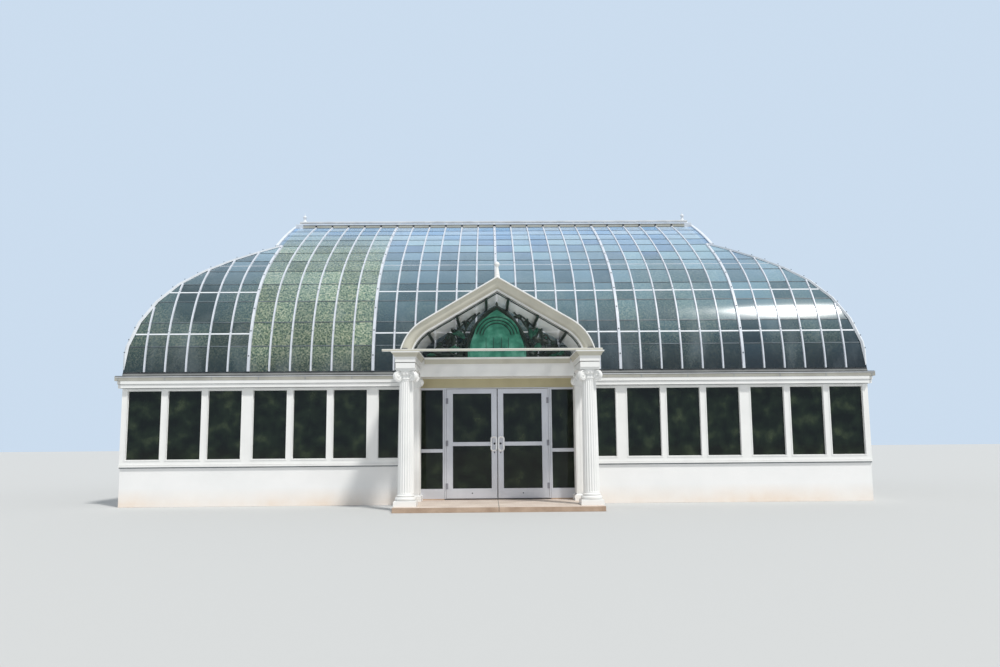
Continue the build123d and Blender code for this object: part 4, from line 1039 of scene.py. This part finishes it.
def rake_sweep(soup, section, slots=None):
    """A section of distances inwards and places along Y, swept over both halves of the roof."""
    path = rake_path()
    rings = []
    for x, z, nx, nz in [(-x, z, -nx, nz) for x, z, nx, nz in path[:0:-1]] + path:
        rings.append([(x + nx * d, y, max(z + nz * d, RAIL_TOP)) for d, y in section])
    soup.loft(rings, slots=slots)


def raking_cornice():
    """Moulded cornice over the porch, with its cove painted cream as painted shade."""
    soup = Soup()
    section = list(CORNICE_CROWN)
    for i in range(1, COVE_STEPS + 1):
        t = i / COVE_STEPS
        section.append((0.024 + 0.14 * t, -0.052 + 0.09 * t + 0.012 * sin(2 * pi * t)))
    shaded_cove = range(len(CORNICE_CROWN) - 1, len(section) + 3)
    section += CORNICE_FOOT
    slots = [1 if i in shaded_cove else 0 for i in range(len(section))]
    rake_sweep(soup, [(d, PORCH_FRONT + back) for d, back in section], slots)
    soup.make("raking_cornice_moulded", [white_wood, cream_and_shade_wood], "white_joinery", replaces=["raking_cornice"])


def porch_ceiling():
    """White panels under the porch roof, its dark bars, and the plates at the cornice's feet."""
    ceiling, rails, ends = Soup(), Soup(), Soup()
    rake_sweep(ceiling, rectangle(0.19, 0.202, PORCH_FRONT + 0.168, FRONT - 0.004))
    ceiling.make("porch_ceiling", [panel_white], "porch_panels")
    for low, high, start in ((0.207, 0.215, BAR_START), (0.202, 0.222, PORCH_FRONT + 0.3)):
        rake_sweep(rails, rectangle(low, high, start, start + 0.016))
    for x in PORCH_BARS:
        z = RAKE_APEX - x * tan(RAKE_SLOPE) - 0.202 / cos(RAKE_SLOPE)
        section = ((x - 0.022, z + 0.013), (x + 0.022, z - 0.013), (x + 0.01, z - 0.05), (x - 0.034, z - 0.024))
        for way in (-1, 1):
            rails.prism([(way * u, BAR_START, v) for u, v in section], (0, FRONT - 0.01 - BAR_START, 0))
    rails.make("porch_rake_bars", [black_iron], "dark_metal")
    for x in (-1.69, 1.69):
        ends.box(x - 0.09, x + 0.09, PORCH_FRONT - 0.058, PORCH_FRONT + 0.04, RAIL_TOP, RAIL_TOP + 0.012)
    ends.make("rake_foot_plates", [seal_and_shade_dark], "dark_metal")


def rail_edge():
    low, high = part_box("porch_cap_rail")
    soup = Soup()
    soup.box(low.x, high.x, low.y - 0.008, low.y + 0.001, low.z + 0.006, high.z - 0.01)
    soup.make("porch_rail_edge", [cream_and_shade_wood], "white_joinery")


# Ornament under the porch roof
PANEL_Y, PANEL_TOP, PANEL_CENTRE = REAR_Y + 0.06, 3.79, 3.26
ARCH_CENTRE, BAND_TOP = 3.19, 2.93
RINGS = ((0.43, 0.02), (0.365, 0.016), (0.305, 0.016))
RING_SHADE_LINES = (0.398, 0.335, 0.276)
PANEL_TIP = ((0.034, 3.77), (0.04, 3.8), (0.022, 3.83), (0.028, 3.85), (0.004, 3.89))


def panel_outline(shrink=0.0, steps=10):
    """Right half of the pointed panel, from its top down, with bowed sides."""
    line = []
    for i in range(steps + 1):
        t = i / steps
        a, b, c = (1 - t) ** 2, 2 * t * (1 - t), t ** 2
        line.append((b * 0.46 + c * 0.59, a * PANEL_TOP + b * 3.56 + c * 2.98))
    line.append((0.59, RAIL_LOW))
    return [(x * (1 - shrink), PANEL_CENTRE + (z - PANEL_CENTRE) * (1 - shrink)) for x, z in line]


def arch(radius, first, steps=26):
    """Arc over the panel's middle, from an angle on the right to the same angle on the left."""
    angles = [radians(first + (180 - 2 * first) * i / steps) for i in range(steps + 1)]
    return [(radius * cos(a), ARCH_CENTRE + radius * sin(a)) for a in angles]


def medallion():
    """Green pointed panel with ring mouldings, dark lines of painted shade between the rings, and seams, in a
    dark frame.
    """
    panel, trim = Soup(), Soup()
    half = panel_outline()
    outline = half + [(-x, z) for x, z in half[:0:-1]]
    panel.prism([(x, PANEL_Y + 0.012, z) for x, z in outline], (0, 0.048, 0))
    panel.box(-0.56, 0.56, PANEL_Y + 0.002, PANEL_Y + 0.014, 2.8, BAND_TOP)

    def place(u, v, w):
        return (u, PANEL_Y + 0.01 + w, v)

    for radius, thick in RINGS:
        tube(panel, arch(radius, 8), thick, place)
    # Dark lines of painted shade between the ring mouldings
    for radius in RING_SHADE_LINES:
        tube(trim, arch(radius, 10), 0.008, place, 6)
    for shrink, radius in ((0.0, 0.03), (0.09, 0.01)):
        half = panel_outline(shrink)
        tube(trim, [(-x, z) for x, z in half[::-1]] + half[1:], radius, place)
    for x in (-0.21, -0.07, 0.09, 0.22):
        trim.box(x - 0.004, x + 0.004, PANEL_Y + 0.006, PANEL_Y + 0.013, BAND_TOP, ARCH_CENTRE)
    trim.box(-0.52, 0.52, PANEL_Y + 0.004, PANEL_Y + 0.014, BAND_TOP + 0.002, BAND_TOP + 0.012)
    turned(trim, PANEL_TIP, 8, lambda p, q, z: (p, PANEL_Y + 0.02 + q, z))
    panel.make("green_panel", [green], "green_copper", replaces=["medallion_panel"])
    trim.make("panel_edges_and_shade_lines", [black_iron], "dark_metal")


def leaf(soup, x, z, angle, length, width, y, slot):
    """Curled acanthus leaf with lobes and a ridge down its middle."""
    left, ridge, right, steps = [], [], [], 12
    for i in range(steps + 1):
        t = i / steps
        lobes = 0.62 + 0.38 * abs(cos(3.5 * pi * t))
        half = width / 2 * sin(pi * min(t * 0.92 + 0.08, 1.0)) ** 0.7 * lobes
        bend = angle + 1.1 * (t - 0.3)
        u, v = x + length * t * cos(angle + 0.45 * t), z + length * t * sin(angle + 0.45 * t)
        side = (-sin(bend) * half, cos(bend) * half)
        left.append((u + side[0], y + 0.01 * t, v + side[1]))
        right.append((u - side[0], y + 0.01 * t, v - side[1]))
        ridge.append((u, y - 0.016 * sin(pi * t) - 0.004, v))
    count = steps + 1
    points, faces = left + ridge + right, []
    for i in range(steps):
        faces += [(i, i + 1, i + count + 1, i + count)]
        faces += [(i + count, i + count + 1, i + 2 * count + 1, i + 2 * count)]
    back = [(px, py + 0.01, pz) for px, py, pz in points]
    total = 3 * count
    soup.add(points + back, faces + [tuple(total + j for j in f[::-1]) for f in faces], slot, True)
    rim = list(range(count)) + list(range(total - 1, 2 * count - 1, -1))
    sides = [(rim[i], rim[i - 1], total + rim[i - 1], total + rim[i]) for i in range(len(rim))]
    soup.add(points + back, sides, slot, True)


def smooth_value(a, b, c, d, t):
    """Catmull-Rom value between b and c."""
    square, cube = 2 * a - 5 * b + 4 * c - d, 3 * b - a - 3 * c + d
    return 0.5 * (2 * b + (c - a) * t + square * t * t + cube * t ** 3)


def smooth_line(stem, steps=5):
    """Curve through the points of a stem."""
    line = []
    for i in range(len(stem) - 1):
        near = [stem[max(min(j, len(stem) - 1), 0)] for j in (i - 1, i, i + 1, i + 2)]
        for s in range(steps):
            line.append(tuple(smooth_value(*four, s / steps) for four in zip(*near)))
    return line + [stem[-1]]


# Centre, size, turns, start and direction of each scroll on the right side
SCROLLS = (
    (0.82, 3.01, 0.19, 1.7, 200, 1), (1.12, 2.925, 0.115, 1.6, 160, -1), (0.69, 3.29, 0.115, 1.6, -60, 1),
    (0.95, 3.18, 0.085, 1.5, 220, -1), (1.27, 2.87, 0.06, 1.4, 180, 1), (0.56, 3.47, 0.075, 1.4, -80, 1),
    (0.82, 3.33, 0.055, 1.4, 40, -1), (1.08, 3.07, 0.05, 1.4, 30, 1), (0.43, 3.6, 0.05, 1.3, -60, 1),
)
# Points of the stems
STEMS = (
    [(0.6, 2.815), (0.68, 2.83), (0.93, 2.87), (1.15, 2.835), (1.33, 2.815)],
    [(0.61, 3.05), (0.64, 3.2), (0.6, 3.36), (0.49, 3.52), (0.33, 3.68)],
    [(0.96, 3.11), (0.86, 3.24), (0.74, 3.37), (0.6, 3.5), (0.47, 3.62)],
    [(1.25, 2.92), (1.16, 3.01), (1.06, 3.11), (0.96, 3.21)],
    [(0.64, 2.9), (0.7, 2.99), (0.66, 3.1)],
)
# Foot, angle, length and width of the leaves
LEAVES = (
    (0.7, 2.93, 0.5, 0.26, 0.15), (0.86, 3.04, 2.0, 0.23, 0.13), (0.9, 2.85, 0.2, 0.25, 0.12),
    (0.64, 3.17, 1.2, 0.21, 0.11), (1.06, 2.86, 0.6, 0.22, 0.11), (0.99, 3.06, 2.4, 0.2, 0.11),
    (1.18, 2.85, 0.4, 0.18, 0.085), (0.76, 2.82, 2.4, 0.18, 0.11), (0.6, 3.36, 1.8, 0.18, 0.085),
    (0.7, 3.24, 0.6, 0.17, 0.09), (0.84, 3.19, 1.1, 0.16, 0.08), (0.47, 3.54, 2.3, 0.16, 0.07),
    (1.0, 2.815, 0.0, 0.21, 0.09), (0.64, 2.815, 0.3, 0.2, 0.1), (0.56, 3.44, 0.9, 0.13, 0.065),
)


def scrollwork():
    """Open scrolls with leaves on each side of the panel."""
    soup = Soup()
    y = PANEL_Y + 0.03

    def place(u, v, w):
        return (u, y + w, v)

    for sign in (-1, 1):
        for cx, cz, r, turns, start, way in SCROLLS:
            line = [(sign * (cx + u), cz + v) for u, v in spiral(turns, r, r * 0.18, radians(start), way)]
            tube(soup, line, [max(0.02 - 0.009 * i / len(line), 0.008) for i in range(len(line))], place)
            rosette = ((r * 0.2, -0.012), (r * 0.2, 0.014), (r * 0.08, 0.026))
            turned(soup, rosette, 16, lambda p, q, out: (sign * cx + p, y - out, cz + q), 1)
        for stem in STEMS:
            tube(soup, [(sign * u, v) for u, v in smooth_line(stem)], 0.016, place)
        for i, (x, z, angle, length, width) in enumerate(LEAVES):
            aim = angle if sign > 0 else pi - angle
            for depth in (-0.018, 0.014):
                leaf(soup, sign * x, z, aim, length, sign * width, y + depth, 1 if i % 3 == 0 else 0)
        a, b = between(sign, 0.59, 1.33)
        soup.box(a, b, y - 0.015, y + 0.015, RAIL_LOW, RAIL_LOW + 0.026)
    soup.make("iron_scrolls", [black_iron, leaf_green], "dark_metal", replaces=["scrollwork"])


# Doors and entrance
BEAD, SEAL = 0.004, 0.004
DOOR_RAIL = (1.121, 1.189)
HANDLE_X, HANDLE_OUT, HANDLE_Z, HANDLE_ROD, POST_RISE = 0.072, 0.062, 1.1575, 0.0145, 0.127
LOOP_HALF, LOOP_HALF_HEIGHT, LOOP_CORNER = 0.026 * 0.62, 0.095, 0.034
HANDLE_POST = ((0.016, 0.0), (0.016, 0.006), (0.009, 0.01), (0.009, 0.06))
LOCK_X, LOCKS = 0.059, ((1.16, 0.02), (0.985, 0.011))
SIDELIGHT, SIDELIGHT_PANES = (1.062, 1.54), ((0.294, 0.998), (1.058, 2.212))


def loop_handle(body, sign):
    """Upright loop with round corners on two posts."""
    soup, line = Soup(), []
    for right, up, first in ((1, 1, 0), (-1, 1, 90), (-1, -1, 180), (1, -1, 270)):
        for i in range(7):
            a = radians(first + 15 * i)
            line.append((right * LOOP_HALF + LOOP_CORNER * cos(a), up * LOOP_HALF_HEIGHT + LOOP_CORNER * sin(a)))
    x, rings = sign * HANDLE_X, []
    for i, (u, v) in enumerate(line):
        way = (Vector(line[(i + 1) % len(line)]) - Vector(line[i - 1])).normalized()
        rings.append([(x + u - way.y * p, FRONT - HANDLE_OUT + q, HANDLE_Z + v + way.x * p)
                      for p, q in circle(HANDLE_ROD, 10)])
    soup.loft(rings + [rings[0]], smooth=True, caps=False)
    for z in (HANDLE_Z - POST_RISE, HANDLE_Z + POST_RISE):
        turned(soup, HANDLE_POST, 12, lambda p, q, out: (x + p, FRONT - out, z + q))
    soup.make(f"{body}_loop_handle", [steel], "steel_fittings", body, [f"{body}_handle"])


def bead_strips(soup, x0, x1, z0, z1, wide, y0, y1):
    for a, b, low, high in borders(x0, x1, z0, z1, wide):
        soup.box(a, b, y0, y1, low, high)


def door_details(sign):
    """Beads, seals, handle and locks of one door leaf."""
    body = "right_door" if sign > 0 else "left_door"
    glass_low, glass_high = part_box(f"{body}_glass")
    leaf_low, leaf_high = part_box(f"{body}_leaf")
    beads, seals, fittings = Soup(), Soup(), Soup()
    x0, x1 = glass_low.x, glass_high.x
    for z0, z1 in ((glass_low.z, DOOR_RAIL[0]), (DOOR_RAIL[1], glass_high.z)):
        bead_strips(beads, x0, x1, z0, z1, BEAD, FRONT + 0.006, FRONT + 0.018)
        bead_strips(seals, x0 + BEAD, x1 - BEAD, z0 + BEAD, z1 - BEAD, SEAL, FRONT + 0.012, FRONT + 0.0184)
    edge = leaf_low.x if sign > 0 else leaf_high.x
    a, b = sorted((edge, edge + sign * 0.004))
    seals.box(a, b, FRONT - 0.001, FRONT + 0.045, leaf_low.z, leaf_high.z)
    loop_handle(body, sign)
    for z, r in LOCKS:
        turned(fittings, ((r, 0.0), (r, 0.005), (0.8 * r, 0.007)), 20,
               lambda p, q, out: (sign * LOCK_X + p, FRONT - out, z + q), 1)
    middle = (x0 + x1) / 2
    fittings.box(middle - 0.01, middle + 0.01, FRONT - 0.004, FRONT, 0.2, 0.222, 1)
    beads.make(f"{body}_beads", [aluminium], "door_aluminium", body)
    seals.make(f"{body}_seals", [seal_and_shade_dark], "dark_metal", body)
    fittings.make(f"{body}_fittings", [steel, seal_and_shade_dark], "steel_fittings", body)


def entrance_details():
    """Frame edges beside the doors, sidelight beads, the threshold plate and the joint in the porch slab."""
    beads, seals, joint = Soup(), Soup(), Soup()
    for sign in (-1, 1):
        a, b = between(sign, *SIDELIGHT)
        for z0, z1 in SIDELIGHT_PANES:
            bead_strips(beads, a, b, z0, z1, BEAD, FRONT + 0.008, FRONT + 0.024)
        a, b = between(sign, 1.0305, 1.0335)
        seals.box(a, b, FRONT - 0.0012, FRONT + 0.002, 0.112, 2.232)
    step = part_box("door_threshold")[0]
    seals.box(-1.03, 1.03, step.y - 0.0015, step.y + 0.001, 0.09, 0.1085)
    beads.box(-0.985, 0.985, FRONT + 0.002, FRONT + 0.055, 0.1095, 0.1115)
    beads.box(-DOOR_SIDE, DOOR_SIDE, FRONT - 0.01, FRONT + 0.001, 2.2325, 2.248)
    beads.make("sidelight_beads", [aluminium], "door_aluminium")
    seals.make("frame_joints", [seal_and_shade_dark], "dark_metal")
    low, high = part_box("porch_slab")
    joint.box(-0.004, 0.004, low.y - 0.001, high.y, low.z + 0.01, high.z + 0.0012)
    joint.make("slab_joint", [seal_and_shade_dark], "concrete")


# Stage, light and camera
FLOOR_HALF, FLOOR_PAINT = 150.0, (0.58, 0.585, 0.58)
SKY_LIGHT, SKY_SEEN = ((0.9, 0.95, 1.0), 0.62), ((0.6, 0.72, 0.86), 1.0)
SUN_POWER, SUN_WIDTH, SUN_COLOR, SUN_WAY = 2.5, radians(6), (1.0, 0.98, 0.94), (-0.345, 0.45, -0.84)
EYE, YAW, PITCH, ROLL = (-0.15619, -21.4309, 1.18629), 0.01337, 0.12814, -0.00812
# Focal length and picture width in pixels, and the sensor's width in millimetres
FOCAL, PICTURE, SENSOR = 843.16, 1000, 36.0


def stage():
    mesh = bpy.data.meshes.new("floor")
    corners = [(x, y, 0) for x, y in rectangle(-FLOOR_HALF, FLOOR_HALF, -FLOOR_HALF, FLOOR_HALF)]
    mesh.from_pydata(corners, [], [(0, 1, 2, 3)])
    material, tree, shader = nodes_of("floor_paint")
    coat(tree, shader, FLOOR_PAINT, 0.9)
    mesh.materials.append(material)
    floor = bpy.data.objects.new("floor", mesh)
    floor.location.z = -0.002
    bpy.context.scene.collection.objects.link(floor)


def sky():
    """Even sky, seen by the camera and through the glass in another colour than it lights with."""
    world = bpy.data.worlds.new("studio")
    bpy.context.scene.world = world
    world.use_nodes = True
    tree = world.node_tree
    tree.nodes.clear()
    out = tree.nodes.new("ShaderNodeOutputWorld")
    path = tree.nodes.new("ShaderNodeLightPath")
    shown = path.outputs["Is Camera Ray"]
    for ray in ("Is Glossy Ray", "Is Transmission Ray"):
        shown = combine(tree, "MAXIMUM", shown, path.outputs[ray])
    choose = tree.nodes.new("ShaderNodeMixShader")
    tree.links.new(shown, choose.inputs[0])
    for i, (color, strength) in enumerate((SKY_LIGHT, SKY_SEEN)):
        light = tree.nodes.new("ShaderNodeBackground")
        feed(tree, light.inputs["Color"], color)
        light.inputs["Strength"].default_value = strength
        tree.links.new(light.outputs[0], choose.inputs[1 + i])
    tree.links.new(choose.outputs[0], out.inputs[0])


def sunlight():
    lamp = bpy.data.lights.new("sun", "SUN")
    lamp.energy = SUN_POWER
    lamp.angle = SUN_WIDTH
    lamp.color = SUN_COLOR
    sun = bpy.data.objects.new("sun", lamp)
    sun.rotation_euler = Vector(SUN_WAY).to_track_quat("-Z", "Y").to_euler()
    bpy.context.scene.collection.objects.link(sun)


def camera():
    """Pinhole camera at the photograph's viewpoint."""
    ahead = Vector((sin(YAW) * cos(PITCH), cos(YAW) * cos(PITCH), sin(PITCH)))
    level = Vector((cos(YAW), -sin(YAW), 0))
    up = level.cross(ahead)
    right = level * cos(ROLL) + up * sin(ROLL)
    up = -level * sin(ROLL) + up * cos(ROLL)
    lens = bpy.data.cameras.new("camera")
    lens.sensor_width = SENSOR
    lens.lens = FOCAL * SENSOR / PICTURE
    lens.clip_end = 500
    view = bpy.data.objects.new("camera", lens)
    turn = Matrix((right, up, -ahead)).transposed().to_4x4()
    view.matrix_world = Matrix.Translation(EYE) @ turn
    bpy.context.scene.collection.objects.link(view)
    bpy.context.scene.camera = view


# All pieces, in the order of the random draws
for side in SIDES:
    roof_panes(side)
purlin_seats()
bar_caps()
ridge_vents()
finials()
gablet_bars()
window_trim()
gutter_trim()
for sign in (-1, 1):
    column(sign)
beam_trim()
raking_cornice()
porch_ceiling()
rail_edge()
medallion()
scrollwork()
for sign in (-1, 1):
    door_details(sign)
entrance_details()
stage()
sky()
sunlight()
camera()
bpy.context.scene.view_settings.view_transform = "Standard"

bpy.context.view_layer.update()
